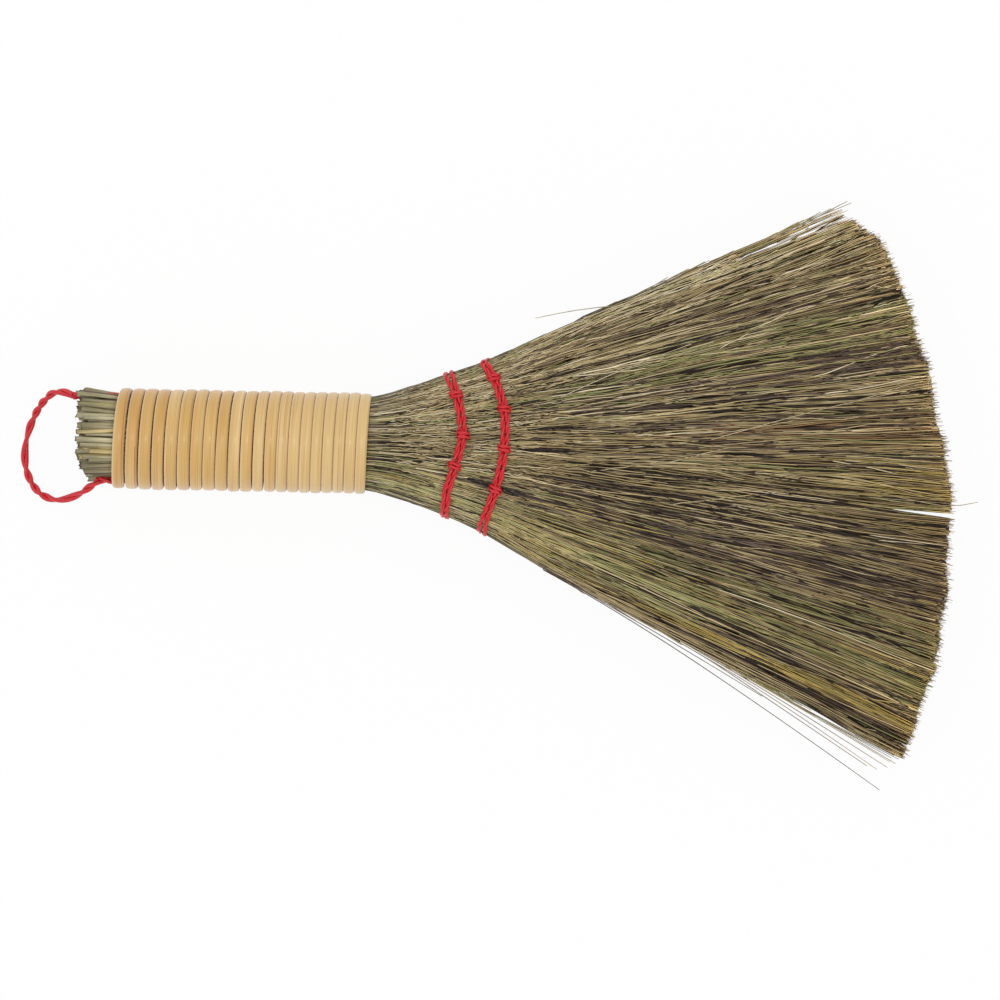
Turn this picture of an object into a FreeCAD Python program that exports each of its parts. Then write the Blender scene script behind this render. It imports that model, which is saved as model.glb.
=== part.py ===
# Grass hand broom lying flat: bound stems, rattan winding, twine stitching and a hanging loop.
# X runs along the handle towards the fan tips, Y across the fan, Z up from the floor.
import FreeCAD, Part
import math
import os

Vec = FreeCAD.Vector

# Stem bundles, millimetres and degrees
bundle_count = 5
bundle_gap = 0.3            # air between neighbouring bundles
slit_width = 1.6            # extra opening of one bundle gap at the fan tips
slit_length = 26.0          # how far that opening runs back from the tips
slit_after_bundle = 2       # counted from the -Y edge
core_radius = 15.5          # stems squeezed under the winding
butt_length = 10.3          # cut stem ends standing out behind the winding
fan_length = 198.8          # winding to the furthest tip
upper_edge_angle = 24.3     # +Y edge of the fan against the handle
lower_edge_angle = 26.5     # -Y edge of the fan against the handle
neck_sweep = 9.5            # length over which the edges swing out of the handle
neck_settle = 10.0          # swing at which half of the neck's extra thickness is gone
fan_half_thickness = 9.0
tip_half_thickness = 10.5
tip_press = 0.5             # depth to which the tips lie pressed flat on the floor
droop_power = 1.5           # how late along its length the fan droops to the floor
fan_fullness = 2.5          # exponent of the oval section, 2 is an ellipse
tip_arc_radius = 193.2      # trimmed edge of the fan
tip_arc_side = 28.3         # its centre lies this far towards -Y

# Locks into which the stems gather on their way to the tips, three in each bundle
lock_borders = ((0.31, 0.66), (0.37, 0.70), (0.30, 0.62), (0.36, 0.69), (0.33, 0.65))   # shares of its width
lock_hollow = 1.4           # depth of the hollows between locks
lock_start = 50.0           # distance from the winding at which the hollows begin
lock_full = 95.0            # distance from the winding at which they have their full depth

# Rattan strip wound round the handle
strip_width = 3.73
strip_thickness = 1.75
strip_shoulder = 0.75       # height of the strip's square sides below its crown
strip_gap = 0.45
strip_turns = 20
strip_overrun = 240.0       # part turn beyond the whole turns
seat_clearance = 0.2        # winding to stems, tails and ties to stems

# Twine ties under the rattan
tie_diameter = 1.2
tie_turns = 3
tie_gap = 0.5
tie_places = (40.0, 74.0)   # starts of the two ties along the winding

# Hanging loop of twisted twine
loop_diameter = 2.3
tail_length = 30.0          # twine trapped under the winding
pivot_clearance = 0.3       # tail end to the rounded end of the loop
lower_pivot_out = 2.4       # lower end of the loop turns this far behind the winding
arc_share = 0.45            # part of the shorter run that an arc of the loop takes up
swing_clearance = 0.4       # stems trimmed beside the swinging loop

# Twine stitching across the neck
band_diameter = 1.7
band_gap = 0.55             # between the two strands of a line
band_radii = (55.3, 69.5)   # stitch lines are arcs about the point where the fan's edges meet
band_seam = 0.45            # half the turn, in radians, in which the strand steps across at the lower edge
band_start = 0.6            # turn past the lower edge, in radians, at which the strand begins and ends
stitch_diameter = 1.6
stitch_gap = 0.55
stitch_angles = ((17.7, 3.5, -7.9), (19.1, 9.8, -1.1, -12.5))
twine_clearance = 0.25      # twine to stems and strand to strand

# Detail of the curves
fan_stations = 15
station_bias = 1.5          # stations crowd towards the neck
trim_allowance = 1.03       # the stems are drawn this much too long and then trimmed
lock_points = 7             # points on the outline of one lock
band_steps = 18             # biarcs in one turn of a stitch band
fine_steps = 240            # short steps in which the length of a band is measured
settling_rounds = 20        # rounds in which a point settles on both the surface and a stitch line
gap_samples = 100           # points per turn at which a winding's gap to itself is measured

# Values worked out from the sizes above
strip_pitch = strip_width + strip_gap
winding_angle = 360.0 * strip_turns + strip_overrun
winding_length = strip_pitch * winding_angle / 360.0 + strip_width
strip_radius = core_radius + seat_clearance
floor_level = -(strip_radius + strip_thickness)
upper_slope = math.tan(math.radians(upper_edge_angle))
lower_slope = math.tan(math.radians(lower_edge_angle))
fan_apex = winding_length + neck_sweep - 2 * core_radius / (upper_slope + lower_slope)
tip_arc_centre = Vec(winding_length + fan_length - tip_arc_radius, -tip_arc_side, 0)
through = 4 * core_radius   # taller than the broom, for cuts that pass right through it
loop_radius = loop_diameter / 2
tail_offset = core_radius - loop_radius
band_step = (band_diameter + band_gap) / 2
band_height = band_diameter / 2 + twine_clearance
stitch_leg = band_step + band_diameter / 2 + stitch_diameter / 2 + twine_clearance
stitch_shift = (stitch_diameter + stitch_gap) / 2
lower_pivot = Vec(-lower_pivot_out, -tail_offset, 0)
upper_pivot = Vec(-butt_length - loop_radius - pivot_clearance, tail_offset, 0)


def swing(x):
    """How far the fan's edges have swung out at x."""
    along = max(0.0, x - winding_length)
    return math.hypot(along, neck_sweep) - neck_sweep


def section_at(x):
    """Middle Y, half width, middle Z, half thickness and fullness of the stems at x."""
    out = swing(x)
    upper = core_radius + upper_slope * out
    lower = -core_radius - lower_slope * out
    reach = out / swing(winding_length + fan_length)
    neck = 1.0 / (1.0 + (out / neck_settle) ** 2)
    tip_swell = (tip_half_thickness - fan_half_thickness) * reach ** 2
    half_thickness = fan_half_thickness + (core_radius - fan_half_thickness) * neck + tip_swell
    droop = (floor_level - tip_press + tip_half_thickness) * reach ** droop_power
    fullness = 2.0 + (fan_fullness - 2.0) * (1.0 - neck)
    return (upper + lower) / 2, (upper - lower) / 2, droop, half_thickness, fullness


def oval_point(x, turn):
    """Point of the stems' oval section at x, with turn 0 at the +Y edge and 90 degrees on top."""
    middle, half_width, height, half_thickness, fullness = section_at(x)
    across = math.copysign(abs(math.cos(turn)) ** (2 / fullness), math.cos(turn))
    up = math.copysign(abs(math.sin(turn)) ** (2 / fullness), math.sin(turn))
    return Vec(x, middle + half_width * across, height + half_thickness * up)


def oval_turn(x, y):
    """Turn at which the upper half of the section at x reaches y."""
    middle, half_width, height, half_thickness, fullness = section_at(x)
    across = max(-1.0, min(1.0, (y - middle) / half_width))
    return math.acos(math.copysign(abs(across) ** (fullness / 2), across))


def curve(points):
    spline = Part.BSplineCurve()
    spline.interpolate(points)
    return spline.toShape()


def spaced(start, end, count):
    return [start + (end - start) * i / count for i in range(count + 1)]


def lock_curve(x, first, last):
    """Outline at x of one lock between two turns of the section, sunk at both ends."""
    grown = max(0.0, min(1.0, (x - winding_length - lock_start) / (lock_full - lock_start)))
    points = []
    for share in spaced(-1.0, 1.0, lock_points - 1):
        turn = (first + last) / 2 + share * (last - first) / 2
        point = oval_point(x, turn)
        point.z -= math.copysign(lock_hollow * grown * share ** 2, math.sin(turn))
        points.append(point)
    return curve(points)


def side_y(x, divider, side):
    """Y of a bundle's side wall: divider counts the gaps from -Y, side is +1 or -1 off the gap's middle."""
    middle, half_width = section_at(x)[:2]
    gap = bundle_gap
    if divider == slit_after_bundle:
        slit_start = winding_length + fan_length - slit_length
        gap += slit_width * max(0.0, x - slit_start) / slit_length
    return middle + half_width * (2 * divider / bundle_count - 1) + side * gap / 2


def bundle_section(x, number):
    """Closed outline at x of one bundle, number counted from the -Y edge."""
    middle, half_width = section_at(x)[:2]
    at_lower_edge = number == 0
    at_upper_edge = number == bundle_count - 1
    low = middle - half_width if at_lower_edge else side_y(x, number, 1)
    high = middle + half_width if at_upper_edge else side_y(x, number + 1, -1)
    turns = [oval_turn(x, low + (high - low) * share) for share in (0.0, *lock_borders[number], 1.0)]
    over = [(after, before) for before, after in zip(turns, turns[1:])][::-1]
    under = [(2 * math.pi - before, 2 * math.pi - after) for before, after in zip(turns, turns[1:])]
    # The outermost lock goes round the fan's edge in one piece.
    if at_lower_edge:
        over[-1] = (turns[1], 2 * math.pi - turns[1])
        under = under[1:]
    if at_upper_edge:
        over[0] = (-turns[-2], turns[-2])
        under = under[:-1]
    locks = [lock_curve(x, first, last) for first, last in over + under]
    edges = []
    for lock, following in zip(locks, locks[1:] + locks[:1]):
        edges.append(lock)
        end = lock.valueAt(lock.LastParameter)
        start = following.valueAt(following.FirstParameter)
        if end.distanceToPoint(start) > bundle_gap:
            edges.append(Part.makeLine(end, start))
    return Part.Wire(edges)


def cylinder_x(radius, start, end, y=0.0, z=0.0):
    return Part.makeCylinder(radius, end - start, Vec(start, y, z), Vec(1, 0, 0))


def stem_bundle(number, cuts):
    places = [-butt_length, winding_length]
    for i in range(1, fan_stations + 1):
        share = (i / fan_stations) ** station_bias
        places.append(winding_length + trim_allowance * fan_length * share)
    body = Part.makeLoft([bundle_section(x, number) for x in places], True, True)
    trim = Part.makeCylinder(tip_arc_radius, through, tip_arc_centre + Vec(0, 0, floor_level))
    return body.common(trim).cut(cuts)


def biarc(start, start_way, end, end_way):
    """Two arcs that join start to end, leaving and arriving along the given unit ways."""
    span = end - start
    both = start_way + end_way
    bend = 1.0 - start_way.dot(end_way)
    along = span.dot(both)
    if bend < 1e-9:
        reach = span.dot(span) / (2 * along)
    else:
        reach = (math.sqrt(along ** 2 + 2 * bend * span.dot(span)) - along) / (2 * bend)
    join = (start + end + (start_way - end_way) * reach) * 0.5
    corners = (start + start_way * reach, end - end_way * reach)
    return [tangent_arc(start, corners[0], join), tangent_arc(join, corners[1], end)]


def tangent_arc(start, corner, end):
    """Arc between two points whose tangents meet at corner."""
    before = (corner - start).normalize()
    after = (end - corner).normalize()
    weight = math.sqrt(max(0.0, (1 + before.dot(after)) / 2))
    if weight > 1 - 1e-9:
        return Part.makeLine(start, end)
    shoulder = (start + corner * (2 * weight) + end) * (0.5 / (1 + weight))
    return Part.Arc(start, shoulder, end).toShape()


def smooth_wire(point_at, places):
    """Biarcs through the points of a formula at the given places."""
    small = 1e-4            # step for the direction of the path
    points = [point_at(p) for p in places]
    ways = [(point_at(p + small) - point_at(p - small)).normalize() for p in places]
    edges = []
    for i in range(len(points) - 1):
        edges += biarc(points[i], ways[i], points[i + 1], ways[i + 1])
    return Part.Wire(edges)


def round_tube(wire, diameter):
    first = wire.OrderedEdges[0]
    way = first.tangentAt(first.FirstParameter)
    ring = Part.Wire(Part.makeCircle(diameter / 2, first.valueAt(first.FirstParameter), way))
    return wire.makePipeShell([ring], True, False)


def report_tube(name, solid, wire, area):
    print(name, "valid", solid.isValid(), "volume over section times length",
          round(solid.Volume / (area * wire.Length), 4))


def report_gap(name, point_at, places, thickness):
    """Least gap of a winding to itself, between points at least half a turn from each other."""
    points = [point_at(p) for p in places]
    half_turn = gap_samples // 2
    nearest = min(points[i].distanceToPoint(points[j])
                  for i in range(len(points)) for j in range(i + half_turn, len(points)))
    print(name, "least gap to itself", round(nearest - thickness, 3))


def coil_point(radius, pitch, first_x, angle):
    """Point of a left-handed coil about the handle, with angle 0 on top."""
    return Vec(first_x + pitch * angle / 360.0, radius * math.sin(math.radians(angle)),
               radius * math.cos(math.radians(angle)))


def rattan_winding():
    start_angle = -strip_overrun / 2
    first_x = strip_width / 2 - strip_pitch * start_angle / 360.0

    def inner_face(angle):
        return coil_point(strip_radius, strip_pitch, first_x, angle)

    end_angle = start_angle + winding_angle
    half_turns = round(winding_angle / 180.0)
    wire = smooth_wire(inner_face, spaced(start_angle, end_angle, half_turns))
    start = inner_face(start_angle)
    outward = Vec(0, start.y, start.z).normalize()
    side = Vec(strip_width / 2, 0, 0)
    corners = [start - side, start + side, start + side + outward * strip_shoulder,
               start - side + outward * strip_shoulder]
    crown = Part.Arc(corners[2], start + outward * strip_thickness, corners[3]).toShape()
    outline = Part.Wire([Part.makeLine(corners[0], corners[1]), Part.makeLine(corners[1], corners[2]),
                         crown, Part.makeLine(corners[3], corners[0])])
    # The strip lies flat on the stems, so its section keeps the handle's axis as its fixed direction.
    shell = Part.BRepOffsetAPI.MakePipeShell(wire)
    shell.setBiNormalMode(Vec(1, 0, 0))
    shell.add(outline)
    shell.build()
    shell.makeSolid()
    solid = shell.shape()
    report_tube("rattan_winding", solid, wire, Part.Face(outline).Area)
    samples = round(gap_samples * winding_angle / 360.0)
    report_gap("rattan_winding", inner_face, spaced(start_angle, end_angle, samples), strip_width)
    return solid


def tie_start(place):
    return place + tie_diameter / 2 + seat_clearance


def twine_tie(name, place):
    radius = core_radius - tie_diameter / 2

    def centre(angle):
        return coil_point(radius, tie_diameter + tie_gap, tie_start(place), angle)

    wire = smooth_wire(centre, spaced(0.0, 360.0 * tie_turns, 4 * tie_turns))
    solid = round_tube(wire, tie_diameter)
    report_tube(name, solid, wire, math.pi * tie_diameter ** 2 / 4)
    report_gap(name, centre, spaced(0.0, 360.0 * tie_turns, gap_samples * tie_turns), tie_diameter)
    return solid


def tie_groove(place):
    length = tie_turns * (tie_diameter + tie_gap) + tie_diameter + 2 * seat_clearance
    outer = cylinder_x(core_radius + tie_diameter, place, place + length)
    inner = cylinder_x(core_radius - tie_diameter - seat_clearance, place, place + length)
    return outer.cut(inner)


def loop_tail(side):
    """Twine trapped under the winding, side +1 at the +Y edge and -1 at the -Y edge."""
    pivot = upper_pivot if side > 0 else lower_pivot
    start = pivot.x + loop_radius + pivot_clearance
    return cylinder_x(loop_radius, start, tail_length, side * tail_offset)


def tail_groove(side):
    return cylinder_x(loop_radius + seat_clearance, -2 * butt_length, tail_length + seat_clearance,
                      side * tail_offset)


def loop_room():
    """Space beside the cut stem ends in which the lower end of the loop swings."""
    edge = -tail_offset + loop_radius + swing_clearance
    return Part.makeBox(2 * butt_length, 2 * core_radius, through,
                        Vec(-2 * butt_length, edge - 2 * core_radius, -through / 2))


# The loop as it droops to the floor, from its lower end to its upper end
loop_route = [
    lower_pivot,
    Vec(-6.2, -17.2, -1.4),
    Vec(-12.0, -20.6, -5.8),
    Vec(-19.2, -21.8, -11.0),
    Vec(-25.6, -18.6, -14.8),
    Vec(-29.6, -11.4, -16.3),
    Vec(-30.0, -3.0, -16.2),
    Vec(-27.6, 5.4, -14.2),
    Vec(-23.4, 12.6, -10.0),
    Vec(-17.4, 16.9, -4.4),
    upper_pivot,
]


def cord_wire(route):
    """Straight runs joined by arcs as large as the runs allow."""
    edges = []
    radii = []
    last = route[0]
    for before, corner, after in zip(route, route[1:], route[2:]):
        way_in = (corner - before).normalize()
        way_out = (after - corner).normalize()
        back = arc_share * min((corner - before).Length, (after - corner).Length)
        turn = way_in.getAngle(way_out)
        radii.append(round(back / math.tan(turn / 2), 1))
        arc_start = corner - way_in * back
        arc_end = corner + way_out * back
        edges.append(Part.makeLine(last, arc_start))
        edges.append(tangent_arc(arc_start, corner, arc_end))
        last = arc_end
    edges.append(Part.makeLine(last, route[-1]))
    print("hanging_loop radii", radii)
    return Part.Wire(edges)


def hanging_loop():
    wire = cord_wire(loop_route)
    solid = round_tube(wire, loop_diameter)
    report_tube("hanging_loop", solid, wire, math.pi * loop_radius ** 2)
    print("hanging_loop length", round(wire.Length, 1))
    for pivot in (lower_pivot, upper_pivot):
        solid = solid.fuse(Part.makeSphere(loop_radius, pivot))
    return solid


def on_line(radius, turn):
    """Point of the stems at a turn of the section, on the arc of this radius about the apex."""
    x = fan_apex + radius
    for _ in range(settling_rounds):
        y = oval_point(x, turn).y
        x = fan_apex + math.sqrt(radius ** 2 - y ** 2)
    return oval_point(x, turn)


def off_surface(radius, turn, height):
    """Point that stands off the stems' surface by height, on the same arc about the apex."""
    small = 1e-3            # step for the slope of the surface
    ahead = on_line(radius, turn - small)
    behind = on_line(radius, turn + small)
    here = on_line(radius, turn)
    angle = math.atan2(here.y, here.x - fan_apex)
    flat = Vec(-math.sin(angle), math.cos(angle), 0)
    way = (ahead - behind).normalize()
    across = way.dot(flat)
    rise = way.z
    lean = Vec(across, rise, 0).normalize()
    moved = angle - height * lean.y / radius
    return Vec(fan_apex + radius * math.cos(moved), radius * math.sin(moved), here.z + height * lean.x)


def band_point(radius, turn):
    """Strand that goes twice round the neck, from the lower edge over the top, stepping across once."""
    share = max(0.0, min(1.0, (turn - 2 * math.pi + band_seam) / (2 * band_seam)))
    step = band_step * (2 * share * share * (3 - 2 * share) - 1)
    return off_surface(radius + step, math.pi - turn, band_height)


def evenly(point_at, start, end, count):
    """Places between start and end that are evenly spaced along the path."""
    fine = spaced(start, end, fine_steps)
    points = [point_at(p) for p in fine]
    run = [0.0]
    for i in range(fine_steps):
        run.append(run[-1] + points[i].distanceToPoint(points[i + 1]))
    places = []
    for target in spaced(0.0, run[-1], count):
        i = min(range(fine_steps), key=lambda k: abs((run[k] + run[k + 1]) / 2 - target))
        share = (target - run[i]) / (run[i + 1] - run[i])
        places.append(fine[i] + share * (fine[i + 1] - fine[i]))
    return places


def stitch_band(name, radius):
    def strand(turn):
        return band_point(radius, turn)

    end = 4 * math.pi - band_start
    wire = smooth_wire(strand, evenly(strand, band_start, end, 2 * band_steps))
    solid = round_tube(wire, band_diameter)
    report_tube(name, solid, wire, math.pi * band_diameter ** 2 / 4)
    report_gap(name, strand, evenly(strand, band_start, end, 2 * gap_samples), band_diameter)
    return solid


def stitch_place(radius, angle):
    """Place on the stitch line, the way along the stems there and the way across them."""
    way = Vec(math.cos(math.radians(angle)), math.sin(math.radians(angle)), 0)
    return Vec(fan_apex, 0, 0) + way * radius, way, Vec(-way.y, way.x, 0)


def stitch_loop(name, radius, angle):
    """Twine drawn twice through the stems and round both strands of a line, in front and behind."""
    place, way, across = stitch_place(radius, angle)
    turn = oval_turn(place.x, place.y)
    top = oval_point(place.x, turn).z + band_height
    bottom = oval_point(place.x, -turn).z - band_height
    middle = (top + bottom) / 2

    def leg(side, height, pass_number):
        shift = stitch_shift * (pass_number - 1.5)
        return Vec(place.x, place.y, height) + way * (side * stitch_leg) + across * shift

    # The legs lean by one shift each, so that every crossing lies beside the one before it.
    stops = [leg(-1, middle, 0.0), leg(-1, top, 0.5), leg(1, top, 0.5), leg(1, bottom, 1.5),
             leg(-1, bottom, 1.5), leg(-1, top, 2.5), leg(1, top, 2.5), leg(1, middle, 3.0)]
    edges = []
    ways = [(stops[i + 1] - stops[i]).normalize() for i in (0, 2, 4, 6)]
    for i in range(0, len(stops), 2):
        edges.append(Part.makeLine(stops[i], stops[i + 1]))
        if i + 2 < len(stops):
            edges += biarc(stops[i + 1], ways[i // 2], stops[i + 2], ways[i // 2 + 1])
    wire = Part.Wire(edges)
    solid = round_tube(wire, stitch_diameter)
    report_tube(name, solid, wire, math.pi * stitch_diameter ** 2 / 4)
    crossing_gap = (stops[5] - stops[1]).dot(across) - stitch_diameter
    print(name, "least gap to itself", round(crossing_gap, 3))
    return solid


def stitch_holes(radius, angle):
    """Slots between the stems through which a stitch passes."""
    place, way, across = stitch_place(radius, angle)
    wide = stitch_diameter + 2 * twine_clearance
    long = 3 * stitch_shift + stitch_diameter + 2 * twine_clearance
    slots = []
    for side in (-1, 1):
        slot = Part.makeBox(wide, long, through, Vec(-wide / 2, -long / 2, -through / 2))
        slot.rotate(Vec(), Vec(0, 0, 1), angle)
        slot.translate(place + way * (side * stitch_leg))
        slots.append(slot)
    return slots


def build():
    pieces = {}
    cuts = [tail_groove(1), tail_groove(-1), loop_room()]
    cuts += [tie_groove(place) for place in tie_places]
    for radius, angles in zip(band_radii, stitch_angles):
        for angle in angles:
            cuts += stitch_holes(radius, angle)
    for number in range(bundle_count):
        pieces[f"grass_bundle_{number + 1}"] = stem_bundle(number, cuts)
    pieces["rattan_winding"] = rattan_winding()
    for name, place in zip(("rear_tie", "front_tie"), tie_places):
        pieces[name] = twine_tie(name, place)
    pieces["upper_loop_tail"] = loop_tail(1)
    pieces["lower_loop_tail"] = loop_tail(-1)
    pieces["hanging_loop"] = hanging_loop()
    for line, radius, angles in zip(("inner", "outer"), band_radii, stitch_angles):
        pieces[f"{line}_stitch_band"] = stitch_band(f"{line}_stitch_band", radius)
        for number, angle in enumerate(angles):
            name = f"{line}_stitch_{number + 1}"
            pieces[name] = stitch_loop(name, radius, angle)
    return pieces


def main():
    os.makedirs("parts", exist_ok=True)
    pieces = build()
    # The origin lies under the middle of the broom's box, the loop left out, on the floor.
    box = FreeCAD.BoundBox()
    for name, shape in pieces.items():
        if name != "hanging_loop":
            box.add(shape.optimalBoundingBox())
    offset = Vec(-box.Center.x, -box.Center.y, -floor_level)
    for name, shape in pieces.items():
        shape.translate(offset)
        shape.exportStep(f"parts/{name}.step")
        print(name, "solids", len(shape.Solids), "valid", shape.isValid(), "volume", round(shape.Volume))
    print("offset", offset, "size", box.XLength, box.YLength, box.ZLength)
    print("pivots", lower_pivot + offset, upper_pivot + offset)


main()
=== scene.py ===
import bmesh
import bpy
import math
import numpy as np
from mathutils import Matrix, Vector


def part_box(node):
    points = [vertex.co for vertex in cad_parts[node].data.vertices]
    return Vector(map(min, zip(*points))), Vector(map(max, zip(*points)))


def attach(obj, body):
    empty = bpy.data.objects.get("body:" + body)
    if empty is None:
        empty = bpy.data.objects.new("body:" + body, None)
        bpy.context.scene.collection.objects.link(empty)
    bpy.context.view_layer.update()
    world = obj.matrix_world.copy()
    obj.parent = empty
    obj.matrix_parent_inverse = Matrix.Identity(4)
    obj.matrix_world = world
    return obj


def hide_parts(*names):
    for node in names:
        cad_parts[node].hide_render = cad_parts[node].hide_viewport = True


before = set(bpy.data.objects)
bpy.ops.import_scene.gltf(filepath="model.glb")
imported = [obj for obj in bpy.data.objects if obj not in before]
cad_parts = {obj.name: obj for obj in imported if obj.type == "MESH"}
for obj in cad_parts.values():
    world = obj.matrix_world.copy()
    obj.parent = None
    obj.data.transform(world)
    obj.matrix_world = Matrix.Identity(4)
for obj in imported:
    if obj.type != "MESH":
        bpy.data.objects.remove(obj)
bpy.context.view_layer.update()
scene = bpy.context.scene
scene.view_settings.view_transform = "Standard"
mm = 0.001

# Everything is laid out in millimetres from the butt end of the winding, on the handle's axis.
windingLow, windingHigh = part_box("rattan_winding")
origin = np.array((windingLow.x, (windingLow.y + windingHigh.y) / 2, (windingLow.z + windingHigh.z) / 2))
windingLength = (windingHigh.x - windingLow.x) / mm


def toFrame(points):
    return np.asarray(points, float) * mm + origin


def linear(hexColour):
    channels = [int(hexColour[i:i + 2], 16) / 255 for i in (1, 3, 5)]
    return [c / 12.92 if c <= 0.04045 else ((c + 0.055) / 1.055) ** 2.4 for c in channels] + [1.0]


# Adds a node: settings go on the node itself, inputs take values, or the nodes or sockets that feed them.
def addNode(tree, kind, inputs=None, stops=None, **settings):
    made = tree.nodes.new("ShaderNode" + kind)
    for name, value in settings.items():
        setattr(made, name, value)
    if stops:
        ramp = made.color_ramp
        while len(ramp.elements) < len(stops):
            ramp.elements.new(1.0)
        for element, (position, colour) in zip(ramp.elements, stops):
            element.position = position
            element.color = linear(colour)
    for name, value in (inputs or {}).items():
        if isinstance(value, bpy.types.Node):
            value = next(socket for socket in value.outputs if socket.enabled)
        if isinstance(value, bpy.types.NodeSocket):
            tree.links.new(value, made.inputs[name])
        else:
            made.inputs[name].default_value = value
    return made


# Lays a colour over a base, more and more of it while a value runs from low to high
def wash(tree, base, value, low, high, share, colour):
    part = addNode(tree, "MapRange", {"Value": value, "From Min": low, "From Max": high, "To Max": share})
    return addNode(tree, "Mix", {0: part, 6: base, 7: linear(colour)}, data_type="RGBA")


# Node of a mesh's map, with its u and v
def addMap(tree, name):
    mapNode = addNode(tree, "UVMap", uv_map=name)
    parts = addNode(tree, "SeparateXYZ", {"Vector": mapNode})
    return mapNode, parts.outputs["X"], parts.outputs["Y"]


def newMaterial(name):
    material = bpy.data.materials.new(name)
    material.use_nodes = True
    material.node_tree.nodes.clear()
    return material, material.node_tree


# Camera straight above the broom, as in the photograph
cameraSet = {
    "lens": 152.25,
    "height": 1450.0,           # above the plane on which the photograph was measured
    "planeHeight": -3.45,
    "centre": (134.8, -18.45),
    "turn": 1.132,              # the handle drops a little towards the fan
}
camera = bpy.data.objects.new("camera", bpy.data.cameras.new("camera"))
camera.data.lens = cameraSet["lens"]
camera.data.sensor_width = 36.0
camera.location = toFrame((*cameraSet["centre"], cameraSet["planeHeight"] + cameraSet["height"]))
camera.rotation_euler = (0.0, 0.0, math.radians(cameraSet["turn"]))
scene.collection.objects.link(camera)
scene.camera = camera
print("camera set")


# Points along the smooth curve that NURBS control points give, in millimetres
def smoothLine(points, resolution=12):
    curve = bpy.data.curves.new("route", "CURVE")
    curve.dimensions = "3D"
    curve.resolution_u = resolution
    spline = curve.splines.new("NURBS")
    spline.points.add(len(points) - 1)
    for control, point in zip(spline.points, points):
        control.co = (*point, 1.0)
    spline.order_u = 3
    spline.use_endpoint_u = True
    holder = bpy.data.objects.new("route", curve)
    mesh = bpy.data.meshes.new_from_object(holder)
    line = np.array([v.co for v in mesh.vertices], float)
    bpy.data.meshes.remove(mesh)
    bpy.data.curves.remove(curve)
    return line


def evenly(line, step):
    run = np.concatenate(([0.0], np.cumsum(np.linalg.norm(np.diff(line, axis=0), axis=1))))
    at = np.linspace(0.0, run[-1], max(4, int(run[-1] / step) + 1))
    return np.stack([np.interp(at, run, line[:, k]) for k in range(3)], axis=1), at


# Plies of a twine laid round a line
def twistedPlies(line, twine, phase=0.0):
    line, run = evenly(line, twine["step"])
    ways = np.gradient(line, axis=0)
    ways /= np.linalg.norm(ways, axis=1)[:, None]
    side = np.cross(ways[0], (0.0, 0.0, 1.0))
    if np.linalg.norm(side) < 1e-3:
        side = np.cross(ways[0], (0.0, 1.0, 0.0))
    sides = []
    for way in ways:
        side = side - way * side.dot(way)
        side = side / np.linalg.norm(side)
        sides.append(side)
    sides = np.array(sides)
    ups = np.cross(ways, sides)
    wobble = twine["unevenness"] * np.sin(run * 2 * math.pi / twine["unevenRun"] + phase)
    plies = []
    for ply in range(twine["plies"]):
        turn = 2 * math.pi * (run / twine["lay"] + ply / twine["plies"]) + wobble + phase
        reach = twine["plyReach"]
        plies.append(line + reach * (np.cos(turn)[:, None] * sides + np.sin(turn)[:, None] * ups))
    return plies, line


# One mesh of many round tubes. mapRule gives the map's u and v from tube, ring and side numbers.
def tubeMesh(name, lines, radii, roundness, mapName, mapRule):
    curve = bpy.data.curves.new(name, "CURVE")
    curve.dimensions = "3D"
    curve.bevel_depth = mm
    curve.bevel_resolution = roundness
    curve.use_fill_caps = True
    for line, radius in zip(lines, radii):
        spline = curve.splines.new("POLY")
        spline.points.add(len(line) - 1)
        spline.points.foreach_set("co", np.column_stack((toFrame(line), np.ones(len(line)))).ravel())
        spline.points.foreach_set("radius", radius)
    holder = bpy.data.objects.new(name, curve)
    mesh = bpy.data.meshes.new_from_object(holder)
    bpy.data.curves.remove(curve)
    mesh.name = name
    # The mesh holds the end caps of all tubes first, last tube first, and then the tubes ring by ring.
    tubes = len(lines)
    counts = np.array([len(line) for line in lines])
    sides = len(mesh.vertices) // (2 * tubes + counts.sum())
    capVerts = 2 * sides * tubes
    starts = capVerts + sides * np.concatenate(([0], np.cumsum(counts)[:-1]))
    corner = np.zeros(len(mesh.loops), int)
    mesh.loops.foreach_get("vertex_index", corner)
    isCap = corner < capVerts
    tube = np.where(isCap, tubes - 1 - corner // (2 * sides), np.searchsorted(starts, corner, "right") - 1)
    atEnd = (corner // sides) % 2 == 0
    ring = np.where(isCap, np.where(atEnd, counts[tube] - 1, 0), (corner - starts[tube]) // sides)
    side = np.where(isCap, corner, corner - starts[tube]) % sides
    capLoops = int(isCap.sum())
    quads = side[capLoops:].reshape(-1, 4)
    seam = (quads == 0).any(axis=1) & (quads == sides - 1).any(axis=1)
    quads[seam[:, None] & (quads == 0)] = sides
    u, v = mapRule(tube, ring, side, sides, counts)
    capWidth = 0.004            # caps keep some width in the map
    v = np.where(isCap, v + capWidth * (2 * (side % 2) - 1), v)
    layer = mesh.uv_layers[0]
    layer.name = mapName
    layer.data.foreach_set("uv", np.column_stack((u, v)).ravel())
    bm = bmesh.new()
    bm.from_mesh(mesh)
    bmesh.ops.remove_doubles(bm, verts=bm.verts, dist=1e-7)
    bm.to_mesh(mesh)
    bm.free()
    return mesh


def addPiece(name, mesh, material, body, replaced=()):
    mesh.materials.clear()
    mesh.materials.append(material)
    piece = bpy.data.objects.new(name, mesh)
    scene.collection.objects.link(piece)
    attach(piece, body)
    if replaced:
        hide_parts(*replaced)
    print("piece", name, len(mesh.polygons), "faces")
    return piece


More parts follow.
